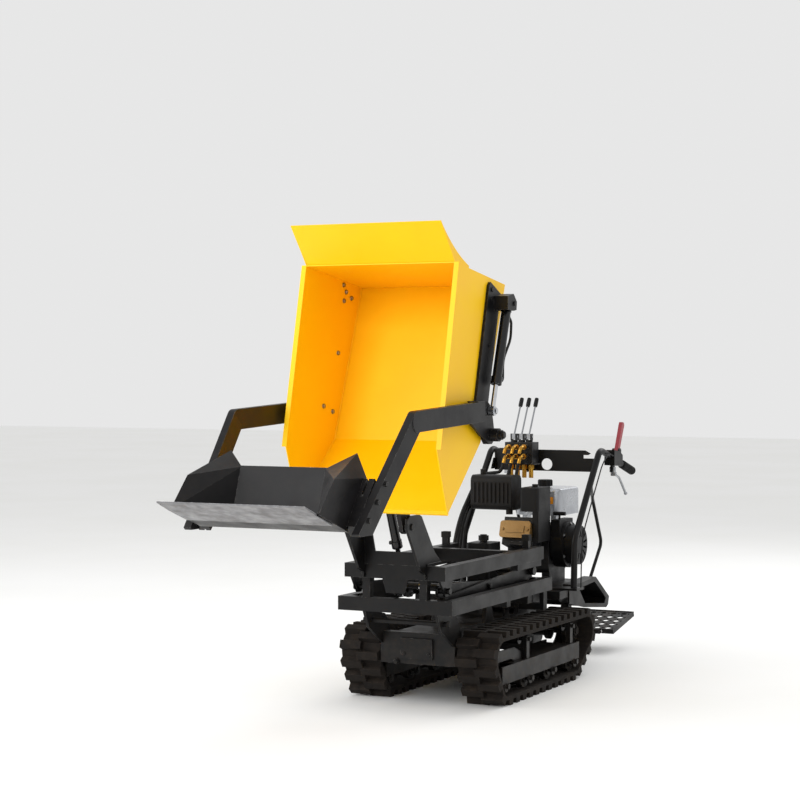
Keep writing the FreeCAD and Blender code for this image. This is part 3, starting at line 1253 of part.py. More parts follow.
def brake_lever(way):
    """Return one steering and brake hand lever."""
    x = way * HANDLE_X
    plates = []
    for side in (-11.0, 6.3):
        plates.append(box(x + side, x + side + 4.7, 1599, 1625, 905, 930))
    bridge = box(x - 11, x + 11, 1615, 1637, 886, 904.5)
    for side in (-11.0, 6.3):
        plates.append(box(x + side, x + side + 4.7, 1614, 1627, 900, 912))
    blade = tube_path([(x, 1628, 898), (x, 1705, 872), (x, 1796, 792)], 6, 60)
    tip = Part.makeSphere(9, Vector(x, 1796, 792))
    pin = cyl_x(x - 12, x + 12, BRAKE_PIVOT, 4)
    return fuse(plates + [bridge, blade, tip, pin])


def platform():
    """Return the folding platform: open grid, raised treads and a rim."""
    length = math.hypot(PLATFORM_REAR[0] - PLATFORM_FRONT[0], PLATFORM_REAR[1] - PLATFORM_FRONT[1])
    slope = math.degrees(math.atan2(PLATFORM_REAR[1] - PLATFORM_FRONT[1], PLATFORM_REAR[0] - PLATFORM_FRONT[0]))
    sheet = box(-PLATFORM_HALF, PLATFORM_HALF, 0, length, -8, -4)
    cut = []
    for i in range(8):
        for j in range(5):
            x = -PLATFORM_HALF + 40 + 54.3 * i
            y = 34 + 59 * j
            cut.append(cyl((x, y, -20), (0, 0, 1), 15, 30))
    sheet = sheet.cut(fuse(cut) if len(cut) == 1 else Part.makeCompound(cut))
    rim = box(-PLATFORM_HALF, PLATFORM_HALF, 0, length, -24, 0).cut(
        box(-PLATFORM_HALF + 5, PLATFORM_HALF - 5, 5, length - 5, -30, 10))
    shape = fuse([sheet, rim])
    for x in (-126.0, 98.0):
        shape = shape.cut(box(x, x + 28, -1, 30, -26, 1))
    hubs = [cyl_x(-160, -130, (0, -14), 13), cyl_x(130, 160, (0, -14), 13)]
    shape = fuse([shape] + hubs)
    shape = shape.cut(cyl_x(-170, 170, (0, -14), 8 + RUN))
    shape.rotate(Vector(0, 0, 0), Vector(1, 0, 0), slope)
    shape.translate(Vector(0, *PLATFORM_FRONT))
    return shape


def platform_pivot():
    """Return the Y and Z of the platform's fold axis."""
    slope = math.atan2(PLATFORM_REAR[1] - PLATFORM_FRONT[1], PLATFORM_REAR[0] - PLATFORM_FRONT[0])
    return (PLATFORM_FRONT[0] + 14 * math.sin(slope), PLATFORM_FRONT[1] - 14 * math.cos(slope))


def platform_arms():
    """Return the two carrying arms of the platform, with the fold pins."""
    y, z = platform_pivot()
    pieces = []
    for way in (1, -1):
        xs = sorted((way * 100.0, way * 124.0))
        arm = side_plate([(1470, 200), (1470, 145), (y - 60, z - 26), (y + 4, z - 20), (y + 14, z), (y - 6, z + 16),
                          (y - 70, z + 24)], xs[0], xs[1])
        pin = sorted((way * 110.0, way * 166.0))
        pieces.append(fuse([arm, cyl_x(pin[0], pin[1], (y, z), 8)]))
    pieces.append(box(-100.3 + 0.6, 100.3 - 0.6, 1540, 1580, 150, 180))
    return fuse(pieces)


def rear_guard():
    """Return the rear guard: a sloping top over the drive, with two side plates."""
    inner = [(1040, 380), (1446, 402), (1620, 294), (1608, 266), (1490, 262), (1480, 240), (1040, 240)]
    solid = side_plate([(1050, 392), (1452, 412), (1634, 300), (1622, 262), (1596, 250), (1300, 282), (1050, 330)],
                       -255, 255)
    hollowed = solid.cut(side_plate(inner, -249, 249))
    window = side_plate([(1230, 378), (1440, 390), (1590, 296), (1570, 272), (1310, 300)], -300, 300)
    shape = hollowed.cut(window)
    keep_out = [box(-192, 192, 1040, 1484, 340, 430), box(-304, 304, 1094, 1186, 380, 400)]
    for block in keep_out:
        shape = shape.cut(block)
    shape = shape.cut(box(-256, 256, 990, 1108, 300, 420))
    solids = sorted(shape.Solids, key=lambda s: -s.Volume)
    return solids[0]


# ---------------------------------------------------------------- hoses and cables
def hydraulic_hoses():
    """Return the hoses from the control valve to the hydraulic tank."""
    runs = []
    for i, x in enumerate(LEVER_XS):
        end_y = 925.0 + 42 * i
        level = 912.0 - 26 * i
        runs.append(hose([(x - 6.2, 1271.8, 954.2), (x - 10, 1268, 935), (x - 14, 1248, level),
                          (-262, 1240 + 18 * i, level - 12), (-262, 1010 + 24 * i, 700), (-262, end_y, 520),
                          (-183.5, end_y, 500)], 8, 0.42))
    return group(runs)


def skip_hoses():
    """Return the hose pairs that run along the loader cylinders."""
    radius, length, _ = LOADER_BARREL
    y0, z0 = along(BARREL_PIN, ROD_PIN, 46)
    y1, z1 = along(BARREL_PIN, ROD_PIN, length - 14)
    x = CYLINDER_X
    start = (x, y0 + 0.95 * 36, z0 - 0.3 * 36)
    end = (x, y1 + 0.95 * 36, z1 - 0.3 * 36)
    line = hose([start, (x, start[1] + 24, start[2] - 20), (x, start[1] + 18, start[2] - 90),
                 (x, end[1] + 30, end[2] + 90), (x, end[1] + 30, end[2] + 10), end], 5.5, 0.4)
    return both(line)


def control_cables():
    """Return the control cables along both handles."""
    pieces = []
    for way in (1, -1):
        x = way * (HANDLE_X + 22)
        pieces.append(hose([(x, 1567.7, 985), (x, 1500, 1000), (x, 1415, 955), (x, 1262, 770), (x, 1160, 640),
                            (x, 1138, 520), (x, 1134, 394.3)], 3))
    return group(pieces)


# ---------------------------------------------------------------- build
def build():
    """Return every node's shape by name."""
    nodes = {}
    nodes["chassis_frame"] = fuse([chassis().cut(shaft_holes()), engine_deck(), platform_arms()])
    nodes["chassis_trim"] = chassis_trim()
    nodes["track_frames"] = track_frames()
    belt = track_belt()
    nodes["track_belts"] = both(belt)
    wheels = {"idler": idler(), "sprocket": sprocket()}
    for i, y in enumerate(ROLLER_YS, start=1):
        wheels["bottom_roller_%d" % i] = bottom_roller(y)
    for name, shape in wheels.items():
        nodes[name + "_left"] = shape
        nodes[name + "_right"] = mirror(shape)
    nodes["lower_frame"] = lower_frame()
    nodes["buffer_pads"] = buffer_pads()
    nodes["scissor_outer"] = scissor_outer()
    nodes["scissor_inner"] = scissor_inner()
    nodes["upper_frame"] = upper_frame()
    nodes["post_caps"] = post_caps()
    nodes["pedestal"] = pedestal()
    nodes["skip"] = skip_body()
    nodes["skip_fittings"] = skip_fittings()
    nodes["loader_arms"] = loader_arms()
    nodes["shovel"] = shovel()
    nodes["cutting_plate"] = cutting_plate()
    nodes["loader_barrels"] = loader_barrels()
    nodes["loader_rods"] = loader_rods()
    nodes["dump_barrel"] = dump_barrel()
    nodes["dump_rod"] = dump_rod()
    nodes["lift_barrel"] = lift_barrel()
    nodes["lift_rod"] = lift_rod()
    nodes["engine_block"] = engine_block()
    nodes["valve_cover"] = valve_cover()
    nodes["muffler"] = muffler()
    nodes["air_cleaner"] = air_cleaner()
    nodes["fuel_tank"] = fuel_tank()
    nodes["fuel_cap"] = fuel_cap()
    nodes["recoil_starter"] = group([recoil_housing(), recoil_grip()])
    nodes["gearbox"] = gearbox()
    nodes["hydraulic_pump"] = hydraulic_pump()
    nodes["hydraulic_tank"] = group([hydraulic_tank(), tank_cap()])
    nodes["handlebar"] = handlebar()
    nodes["hand_grips"] = hand_grips()
    nodes["operator_panel"] = operator_panel()
    nodes["control_valve"] = control_valve()
    for i, x in enumerate(LEVER_XS, start=1):
        nodes["valve_lever_%d" % i] = valve_lever(x)
    nodes["valve_fittings"] = valve_fittings()
    nodes["handle_clamps"] = switch_block()
    nodes["clutch_lever"] = clutch_lever()
    nodes["brake_lever_left"] = brake_lever(1)
    nodes["brake_lever_right"] = brake_lever(-1)
    nodes["platform"] = platform()
    nodes["rear_guard"] = rear_guard()
    nodes["hoses_and_cables"] = group([hydraulic_hoses(), control_cables()])
    nodes["cylinder_hoses"] = skip_hoses()
    return nodes


os.makedirs("parts", exist_ok=True)
NODES = build()
WHOLE = Part.makeCompound(list(NODES.values())).BoundBox
MID_Y = (WHOLE.YMin + WHOLE.YMax) / 2
for node_name, node_shape in NODES.items():
    node_shape.translate(Vector(0, -MID_Y, 0))
    node_shape.exportStep("parts/%s.step" % node_name)
    if not node_shape.isValid():
        print("not valid:", node_name)
print("nodes", len(NODES), "middle Y", round(MID_Y, 3), "box",
      [round(v) for v in (WHOLE.XMin, WHOLE.XMax, WHOLE.YMin, WHOLE.YMax, WHOLE.ZMin, WHOLE.ZMax)])
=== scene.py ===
"""Tracked power barrow with a high-tip skip and a loading shovel: its finishes and fine detail."""

import logging
import math
from dataclasses import dataclass, field
from enum import Enum

import bpy
from mathutils import Matrix, Vector


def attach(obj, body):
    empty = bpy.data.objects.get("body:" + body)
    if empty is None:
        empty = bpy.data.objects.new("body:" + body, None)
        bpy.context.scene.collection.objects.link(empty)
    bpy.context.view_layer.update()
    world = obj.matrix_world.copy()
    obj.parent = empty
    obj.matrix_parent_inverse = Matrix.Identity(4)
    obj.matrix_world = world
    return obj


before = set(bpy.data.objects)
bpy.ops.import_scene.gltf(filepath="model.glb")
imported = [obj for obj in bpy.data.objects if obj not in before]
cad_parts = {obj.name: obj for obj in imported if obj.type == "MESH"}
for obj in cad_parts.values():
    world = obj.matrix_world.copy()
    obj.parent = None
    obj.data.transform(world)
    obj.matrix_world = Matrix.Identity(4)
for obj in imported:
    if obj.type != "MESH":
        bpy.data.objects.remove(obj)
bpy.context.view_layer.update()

LOG = logging.getLogger("barrow")
MM = 0.001
MIDDLE = 285.15            # middle of the machine, measured from the front of the tracks
HINGE = (-330.0, 775.0)    # skip hinge
TIP_TURN = math.radians(68.9)


class Slot(Enum):
    """The material slots of the record, by name."""

    CHASSIS = "chassis_steel"
    LIFT = "lift_steel"
    SKIP = "skip_yellow"
    CUTTING = "cutting_steel"
    PLASTIC = "black_plastic"
    LEVER = "lever_steel"
    COVER = "cover_bronze"


def at(x: float, y: float, z: float) -> Vector:
    """Return a point of the machine, given in millimetres from the front of the tracks, in metres."""
    return Vector((x, y - MIDDLE, z)) * MM


def tipped(x: float, y: float, z: float) -> Vector:
    """Return a point of the lowered skip, in millimetres, where the tipped skip holds it."""
    dy, dz = y - HINGE[0], z - HINGE[1]
    c, s = math.cos(TIP_TURN), math.sin(TIP_TURN)
    return at(x, HINGE[0] + dy * c - dz * s, HINGE[1] + dy * s + dz * c)


def linear(hex_colour: str) -> tuple[float, float, float, float]:
    """Turn an sRGB hex colour into linear red, green, blue and alpha.

    Args:
        hex_colour: six hexadecimal digits.

    Returns:
        The colour as four numbers for a shader socket.
    """
    out = []
    for i in (0, 2, 4):
        c = int(hex_colour[i:i + 2], 16) / 255.0
        out.append(c / 12.92 if c <= 0.04045 else ((c + 0.055) / 1.055) ** 2.4)
    return (out[0], out[1], out[2], 1.0)


def add_node(tree: bpy.types.NodeTree, kind: str, settings: dict | None = None, values: dict | None = None,
             links: dict | None = None) -> bpy.types.Node:
    """Add one shader node.

    Args:
        tree: the node tree of the material.
        kind: the node's type name.
        settings: properties of the node.
        values: constants for its input sockets, by name or number.
        links: output sockets to join to its input sockets, by name or number.

    Returns:
        The new node.
    """
    node = tree.nodes.new(kind)
    for key, value in (settings or {}).items():
        setattr(node, key, value)
    for key, value in (values or {}).items():
        node.inputs[key].default_value = value
    for key, source in (links or {}).items():
        tree.links.new(source, node.inputs[key])
    return node


@dataclass(frozen=True)
class Finish:
    """One real finish, from its base colour to its worn edges, which on the dark finishes also carry a
    painted highlight, with sizes in millimetres.
    """

    name: str
    base: str
    tone: str                    # the colour that patches of the base drift to
    metallic: float = 0.0
    roughness: float = 0.5
    spread: float = 0.12         # how much the gloss differs from place to place
    patch_mm: float = 120.0      # size of the drifting patches
    grain_mm: float = 1.5        # size of the fine relief
    grain: float = 0.12          # strength of the fine relief
    relief_mm: float = 0.2
    edge_colour: str = "8C8A86"         # what shows where an edge is worn; on the dark finishes its lighter tone is also a painted highlight along the edges
    bare_metal: float = 0.9
    edge_marks: float = 0.0            # how much of the edges is worn, which on the dark finishes is also how much carries the painted highlight
    edge_mm: float = 2.2
    dust: float = 0.0            # how much earth lies on it
    dust_colour: str = "6B5B4A"
    dust_top: float = 0.55       # height in metres above which the earth fades out
    coat: float = 0.0
    specular: float = 0.5
    streak: Vector | None = field(default=None, compare=False)

    def build(self) -> bpy.types.Material:
        """Make the node material of this finish.

        Returns:
            The material, ready to be put in a slot.
        """
        material = bpy.data.materials.new(self.name)
        material.use_nodes = True
        tree = material.node_tree
        tree.nodes.clear()
        place = add_node(tree, "ShaderNodeTexCoord")
        where = place.outputs["Object"]
        if self.streak is not None:
            stretch = add_node(tree, "ShaderNodeMapping", values={"Scale": self.streak},
                               links={"Vector": where})
            grain_where = stretch.outputs["Vector"]
        else:
            grain_where = where
        patches = add_node(tree, "ShaderNodeTexNoise", values={"Scale": 1000.0 / self.patch_mm, "Detail": 5.0,
                                                               "Roughness": 0.6}, links={"Vector": where})
        grain = add_node(tree, "ShaderNodeTexNoise", values={"Scale": 1000.0 / self.grain_mm, "Detail": 3.0},
                         links={"Vector": grain_where})
        drift = add_node(tree, "ShaderNodeMapRange", values={"From Min": 0.35, "From Max": 0.65},
                         links={"Value": patches.outputs["Fac"]})
        colour = add_node(tree, "ShaderNodeMix", {"data_type": "RGBA"},
                          {6: linear(self.base), 7: linear(self.tone)},
                          {0: drift.outputs["Result"]}).outputs[2]
        gloss = add_node(tree, "ShaderNodeMapRange",
                         values={"From Min": 0.3, "From Max": 0.7,
                                 "To Min": max(self.roughness - self.spread, 0.03),
                                 "To Max": min(self.roughness + self.spread, 1.0)},
                         links={"Value": patches.outputs["Fac"]}).outputs["Result"]
        metal = None
        shape = add_node(tree, "ShaderNodeNewGeometry")
        if self.edge_marks > 0.0:
            # Edge marks: real rubbing through to the metal beneath, and on the dark finishes, whose edge
            # colour is lighter, also a painted highlight along the edges.
            edge = add_node(tree, "ShaderNodeBevel", {"samples": 4}, {"Radius": self.edge_mm * MM})
            match = add_node(tree, "ShaderNodeVectorMath", {"operation": "DOT_PRODUCT"},
                             links={0: edge.outputs["Normal"], 1: shape.outputs["Normal"]})
            worn_and_lit_edge = add_node(tree, "ShaderNodeMapRange", values={"From Min": 0.985, "From Max": 0.86},
                              links={"Value": match.outputs["Value"]})
            chips = add_node(tree, "ShaderNodeTexNoise",
                             values={"Scale": 45.0, "Detail": 6.0, "Roughness": 0.7},
                             links={"Vector": where})
            broken = add_node(tree, "ShaderNodeMapRange",
                              values={"From Min": 0.62 - 0.3 * self.edge_marks, "From Max": 0.78 - 0.3 * self.edge_marks},
                              links={"Value": chips.outputs["Fac"]})
            wear_and_highlight_mask = add_node(tree, "ShaderNodeMath", {"operation": "MULTIPLY"},
                            links={0: worn_and_lit_edge.outputs["Result"], 1: broken.outputs["Result"]}).outputs["Value"]
            colour = add_node(tree, "ShaderNodeMix", {"data_type": "RGBA"}, {7: linear(self.edge_colour)},
                              {0: wear_and_highlight_mask, 6: colour}).outputs[2]
            metal = add_node(tree, "ShaderNodeMapRange",
                             values={"To Min": self.metallic, "To Max": self.bare_metal},
                             links={"Value": wear_and_highlight_mask}).outputs["Result"]
        if self.dust > 0.0:
            up = add_node(tree, "ShaderNodeSeparateXYZ", links={"Vector": shape.outputs["Normal"]})
            lies = add_node(tree, "ShaderNodeMapRange",
                            values={"From Min": -0.6, "From Max": 0.9, "To Min": 0.25},
                            links={"Value": up.outputs["Z"]})
            height = add_node(tree, "ShaderNodeSeparateXYZ", links={"Vector": where})
            low = add_node(tree, "ShaderNodeMapRange", values={"From Min": self.dust_top, "From Max": 0.0},
                           links={"Value": height.outputs["Z"]})
            cloud = add_node(tree, "ShaderNodeTexNoise",
                             values={"Scale": 22.0, "Detail": 8.0, "Roughness": 0.68},
                             links={"Vector": where})
            thick = add_node(tree, "ShaderNodeMapRange", values={"From Min": 0.4, "From Max": 0.7,
                                                                 "To Max": self.dust},
                             links={"Value": cloud.outputs["Fac"]})
            first = add_node(tree, "ShaderNodeMath", {"operation": "MULTIPLY"},
                             links={0: lies.outputs["Result"], 1: low.outputs["Result"]})
            earth = add_node(tree, "ShaderNodeMath", {"operation": "MULTIPLY"},
                             links={0: first.outputs["Value"], 1: thick.outputs["Result"]}).outputs["Value"]
            colour = add_node(tree, "ShaderNodeMix", {"data_type": "RGBA"}, {7: linear(self.dust_colour)},
                              {0: earth, 6: colour}).outputs[2]
            gloss = add_node(tree, "ShaderNodeMix", {"data_type": "FLOAT"}, {3: 0.92},
                             {0: earth, 2: gloss}).outputs[0]
        relief = add_node(tree, "ShaderNodeBump", values={"Strength": self.grain,
                                                          "Distance": self.relief_mm * MM},
                          links={"Height": grain.outputs["Fac"]})
        links = {"Base Color": colour, "Roughness": gloss, "Normal": relief.outputs["Normal"]}
        values = {"Coat Weight": self.coat, "Coat Roughness": 0.12, "Specular IOR Level": self.specular}
        if metal is not None:
            links["Metallic"] = metal
        else:
            values["Metallic"] = self.metallic
        shader = add_node(tree, "ShaderNodeBsdfPrincipled", values=values, links=links)
        add_node(tree, "ShaderNodeOutputMaterial", links={"Surface": shader.outputs["BSDF"]})
        return material


# Powder coat: an even satin black with a faint orange-peel, worn to grey steel at the corners; the grey along
# the edges is also a painted highlight.
CHASSIS_COAT = Finish("powder_coated_steel_satin_black", "0C0C0D", "121213", roughness=0.42, grain_mm=2.4,
                      grain=0.3, edge_marks=0.4, dust=0.3, specular=0.22)
LIFT_COAT = Finish("powder_coated_steel_black", "0B0B0C", "131314", roughness=0.38, grain_mm=2.4, grain=0.3,
                   edge_marks=0.35, dust=0.12, dust_top=0.9, specular=0.22)
LOADER_COAT = Finish("painted_loader_steel_black", "0D0D0E", "171618", roughness=0.42, grain_mm=2.6,
                     grain=0.32, edge_marks=0.5, dust=0.1, dust_top=1.6, specular=0.24)
# Gloss powder coat: deep amber yellow with soft reflections and small chips along the rim.
SKIP_COAT = Finish("powder_coated_sheet_amber_yellow", "FFC600", "FFCB04", roughness=0.42, spread=0.06,
                   patch_mm=260.0, grain_mm=3.0, grain=0.18, edge_colour="B98A2A", bare_metal=0.1, edge_marks=0.22,
                   edge_mm=1.6, specular=0.3)
# Wear steel: mill-bright plate, scuffed along the digging direction.
CUTTING_STEEL = Finish("ground_wear_steel", "8C8C8F", "767576", metallic=0.85, roughness=0.42, spread=0.14,
                       patch_mm=60.0, grain_mm=2.0, grain=0.5, relief_mm=0.4,
                       streak=Vector((0.25, 0.02, 0.02)), edge_colour="C9C9CB", edge_marks=0.5)
# Track rubber: dull brown-black, grey with dry earth in its hollows and on its lugs.
TRACK_RUBBER = Finish("moulded_track_rubber", "151210", "1D1916", roughness=0.85, spread=0.1, patch_mm=70.0,
                      grain_mm=2.2, grain=0.7, relief_mm=0.8, edge_colour="453D36", bare_metal=0.0, edge_marks=0.5,
                      edge_mm=3.0, dust=0.5, dust_colour="4A3F35", dust_top=0.6, specular=0.2)
WHEEL_STEEL = Finish("painted_cast_iron_black", "0F0F0F", "171615", roughness=0.55, patch_mm=50.0,
                     grain_mm=3.0, grain=0.6, relief_mm=0.5, edge_marks=0.6, dust=0.4, dust_top=0.5,
                     specular=0.25)
# Gloss enamel over drawn tube: smooth black with sharp highlights.
BARREL_ENAMEL = Finish("gloss_enamel_cylinder_black", "0B0B0D", "101012", roughness=0.25, spread=0.06,
                       grain_mm=4.0, grain=0.12, edge_marks=0.25, coat=0.15, specular=0.35)
# Hard chrome: a mirror with faint rings from grinding.
ROD_CHROME = Finish("hard_chrome_rod", "D6D8DB", "C6C8CC", metallic=1.0, roughness=0.1, spread=0.04,
                    patch_mm=40.0, grain_mm=1.2, grain=0.12, relief_mm=0.1)
# Die-cast aluminium under black paint: fine sand texture, bright where the ribs are touched, the brightness
# along the ribs being partly a painted highlight.
ENGINE_CAST = Finish("die_cast_aluminium_black", "0F0F11", "1A1B1D", roughness=0.48, patch_mm=45.0,
                     grain_mm=1.6, grain=0.8, relief_mm=0.5, edge_colour="9A9B9E", edge_marks=0.5, dust=0.1,
                     dust_top=1.1, specular=0.3)
COVER_BRONZE = Finish("bronze_lacquer_pressing", "8A6A3A", "967544", metallic=0.6, roughness=0.36,
                      patch_mm=50.0, grain_mm=2.0, grain=0.2, edge_colour="C8B080", edge_marks=0.3, coat=0.25)
BLACK_PLASTIC = Finish("moulded_polypropylene_black", "0C0C0D", "131314", roughness=0.5, spread=0.08,
                       patch_mm=70.0, grain_mm=1.3, grain=0.5, relief_mm=0.3, specular=0.25)
TANK_ENAMEL = Finish("silver_enamel_tank", "B9BCC1", "A6A9AF", metallic=0.55, roughness=0.32, patch_mm=80.0,
                     grain_mm=2.0, grain=0.15, coat=0.3, edge_colour="8A8C90", edge_marks=0.2)
RUBBER = Finish("moulded_rubber_black", "0E0E0E", "161514", roughness=0.72, patch_mm=30.0, grain_mm=1.2,
                grain=0.6, relief_mm=0.4, dust=0.1, dust_top=1.4, specular=0.25)
HOSE_RUBBER = Finish("wrapped_hydraulic_hose", "0D0D0E", "161617", roughness=0.55, patch_mm=25.0,
                     grain_mm=1.5, grain=0.8, relief_mm=0.4, specular=0.3)
# Yellow chromate zinc: golden with a green-pink drift over bright steel.
YELLOW_ZINC = Finish("yellow_chromate_zinc", "C79A3A", "B07F35", metallic=0.95, roughness=0.28,
                     patch_mm=14.0, grain_mm=1.5, grain=0.2, edge_colour="D8C79A", edge_marks=0.2)
LEVER_RED = Finish("red_vinyl_dip", "8E2430", "9C2C38", roughness=0.45, patch_mm=30.0, grain_mm=2.0,
                   grain=0.25, coat=0.2)
LEVER_STEEL = Finish("bright_zinc_steel", "A5A7AA", "8F9195", metallic=0.95, roughness=0.3, patch_mm=20.0,
                     grain_mm=1.4, grain=0.2)
# Stove enamel: dull black that has browned a little with heat.
MUFFLER_ENAMEL = Finish("heatproof_enamel_black", "0D0D0E", "191614", roughness=0.58, patch_mm=40.0,
                        grain_mm=1.5, grain=0.6, relief_mm=0.4, edge_colour="4A3A2C", bare_metal=0.3, edge_marks=0.4,
                        specular=0.25)
# Printed vinyl: a flat warm orange under clear film.
LABEL_VINYL = Finish("plain_orange_vinyl", "D9861E", "E0922C", roughness=0.3, spread=0.05, grain_mm=6.0,
                     grain=0.05, coat=0.3)
FLOOR_MATT = Finish("matt_studio_floor", "F4F4F2", "F7F7F6", roughness=0.85, spread=0.05, patch_mm=1800.0,
                    grain_mm=8.0, grain=0.04)

_made: dict[str, bpy.types.Material] = {}


def material_of(finish: Finish) -> bpy.types.Material:
    """Return the material of a finish, made once."""
    if finish.name not in _made:
        _made[finish.name] = finish.build()
    return _made[finish.name]


def dress(nodes: list[str], finish: Finish) -> None:
    """Put a finish on CAD nodes.

    Args:
        nodes: names of the nodes.
        finish: the finish that they get.
    """
    for name in nodes:
        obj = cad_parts[name]
        if not obj.material_slots:
            obj.data.materials.append(None)
        for holder in obj.material_slots:
            holder.material = material_of(finish)
    LOG.info("%s: %s", finish.name, ", ".join(nodes))


# ---------------------------------------------------------------- the bench
def clear() -> None:
    """Leave edit mode and deselect everything."""
    if bpy.context.object is not None and bpy.context.object.mode != "OBJECT":
        bpy.ops.object.mode_set(mode="OBJECT")
    bpy.ops.object.select_all(action="DESELECT")


def only(obj: bpy.types.Object) -> bpy.types.Object:
    """Select one object alone and make it active."""
    clear()
    obj.select_set(True)
    bpy.context.view_layer.objects.active = obj
    return obj


def join(objects: list[bpy.types.Object]) -> bpy.types.Object:
    """Join several meshes into the first of them."""
    only(objects[0])
    for obj in objects[1:]:
        obj.select_set(True)
    if len(objects) > 1:
        bpy.ops.object.join()
    return bpy.context.view_layer.objects.active


def copies(model: bpy.types.Object, places: list[Matrix]) -> bpy.types.Object:
    """Repeat a model at each place, join the copies and remove the model.

    Args:
        model: a mesh at the origin.
        places: where each copy goes.

    Returns:
        One object with all the copies.
    """
    made = []
    for place in places:
        twin = model.copy()
        twin.data = model.data.copy()
        bpy.context.collection.objects.link(twin)
        twin.matrix_world = place
        made.append(twin)
    whole = join(made)
    bpy.data.objects.remove(model, do_unlink=True)
    return whole


def settle(obj: bpy.types.Object, name: str, body: str, finish: Finish,
           turn: float = 40.0) -> None:
    """Bring a piece's place into its mesh, dress it and hang it on its body.

    Args:
        obj: the finished mesh.
        name: the piece's name.
        body: the CAD body that carries it.
        finish: what it is made of.
        turn: edges that turn more than this many degrees stay sharp.
    """
    only(obj)
    bpy.ops.object.transform_apply(location=True, rotation=True, scale=True)
    bpy.ops.object.shade_smooth_by_angle(angle=math.radians(turn))
    obj.name = name
    obj.data.name = name
    obj.data.materials.clear()
    obj.data.materials.append(material_of(finish))
    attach(obj, body)
    LOG.info("piece %s on %s: %d faces", name, body, len(obj.data.polygons))


def facing(spot: Vector, way: Vector) -> Matrix:
    """Return the place that puts +Z of a model along a direction, at a spot."""
    return Matrix.Translation(spot) @ way.to_track_quat("Z", "Y").to_matrix().to_4x4()


def hex_screw(across: float, height: float, washer: float = 0.0) -> bpy.types.Object:
    """Model one hexagon screw head that stands on the origin, with its washer.

    Args:
        across: width across the flats, in millimetres.
        height: height of the head, in millimetres.
        washer: outer radius of the washer, in millimetres, or 0 for none.

    Returns:
        The joined mesh.
    """
    clear()
    seat = 1.4 if washer else 0.0
    bpy.ops.mesh.primitive_cylinder_add(vertices=6, radius=across / math.sqrt(3.0) * MM, depth=height * MM,
                                        location=(0.0, 0.0, (height / 2 + seat) * MM))
    head = bpy.context.active_object
    bpy.ops.object.mode_set(mode="EDIT")
    bpy.ops.mesh.select_all(action="SELECT")
    bpy.ops.mesh.bevel(offset=0.06 * across * MM, segments=2, affect="EDGES")
    bpy.ops.object.mode_set(mode="OBJECT")
    parts = [head]
    if washer:
        clear()
        bpy.ops.mesh.primitive_cylinder_add(vertices=28, radius=washer * MM, depth=seat * MM,
                                            location=(0.0, 0.0, seat / 2 * MM))
        ring = bpy.context.active_object
        bpy.ops.object.modifier_add(type="BEVEL")
        ring.modifiers[0].width = 0.35 * MM
        ring.modifiers[0].segments = 2
        bpy.ops.object.modifier_apply(modifier=ring.modifiers[0].name)
        parts.append(ring)
    whole = join(parts)
    only(whole)
    bpy.ops.object.transform_apply(location=True, rotation=True, scale=True)
    return whole


def dome(radius: float, height: float, top: float, sides: int = 12) -> bpy.types.Object:
    """Model one raised stud: a short column that steps in to a rounded top.

    Args:
        radius: radius at its foot, in millimetres.
        height: its height, in millimetres.
        top: radius of its top as a share of its foot.
        sides: number of its sides.

    Returns:
        The mesh, standing on the origin.
    """
    clear()
    bpy.ops.mesh.primitive_cylinder_add(vertices=sides, radius=radius * MM, depth=height * 0.5 * MM,
                                        location=(0.0, 0.0, height * 0.25 * MM))
    stud = bpy.context.active_object
    bpy.ops.object.transform_apply(location=True, rotation=True, scale=True)
    bpy.ops.object.mode_set(mode="EDIT")
    bpy.ops.mesh.select_all(action="DESELECT")
    bpy.ops.object.mode_set(mode="OBJECT")
    for face in stud.data.polygons:
        face.select = face.normal.z > 0.9
    bpy.ops.object.mode_set(mode="EDIT")
    bpy.ops.mesh.select_mode(type="FACE")
    bpy.ops.mesh.extrude_region_move(TRANSFORM_OT_translate={"value": (0.0, 0.0, height * 0.35 * MM)})
    bpy.ops.transform.resize(value=(0.5 + top / 2, 0.5 + top / 2, 1.0))
    bpy.ops.mesh.extrude_region_move(TRANSFORM_OT_translate={"value": (0.0, 0.0, height * 0.15 * MM)})
    bpy.ops.transform.resize(value=(top, top, 1.0))
    bpy.ops.object.mode_set(mode="OBJECT")
    return stud


def weld(start: Vector, end: Vector, radius: float) -> bpy.types.Object:
    """Model one weld bead as a row of overlapping, flattened drops.

    Args:
        start: where the bead starts.
        end: where it ends.
        radius: half its width, in millimetres.

    Returns:
        The bead's mesh.
    """
    run = end - start
    pitch = 1.15 * radius * MM
    clear()
    bpy.ops.mesh.primitive_uv_sphere_add(segments=8, ring_count=6, radius=radius * MM)
    bead = bpy.context.active_object
    bpy.ops.object.mode_set(mode="EDIT")
    bpy.ops.mesh.select_all(action="SELECT")
    bpy.ops.transform.resize(value=(1.25, 1.0, 0.8))
    bpy.ops.object.mode_set(mode="OBJECT")
    bpy.ops.object.modifier_add(type="ARRAY")
    row = bead.modifiers[0]
    row.use_relative_offset = False
    row.use_constant_offset = True
    row.constant_offset_displace = (pitch, 0.0, 0.0)
    row.count = max(int(run.length / pitch), 2)
    bpy.ops.object.modifier_apply(modifier=row.name)
    bead.matrix_world = Matrix.Translation(start) @ run.to_track_quat("X", "Z").to_matrix().to_4x4()
    return bead


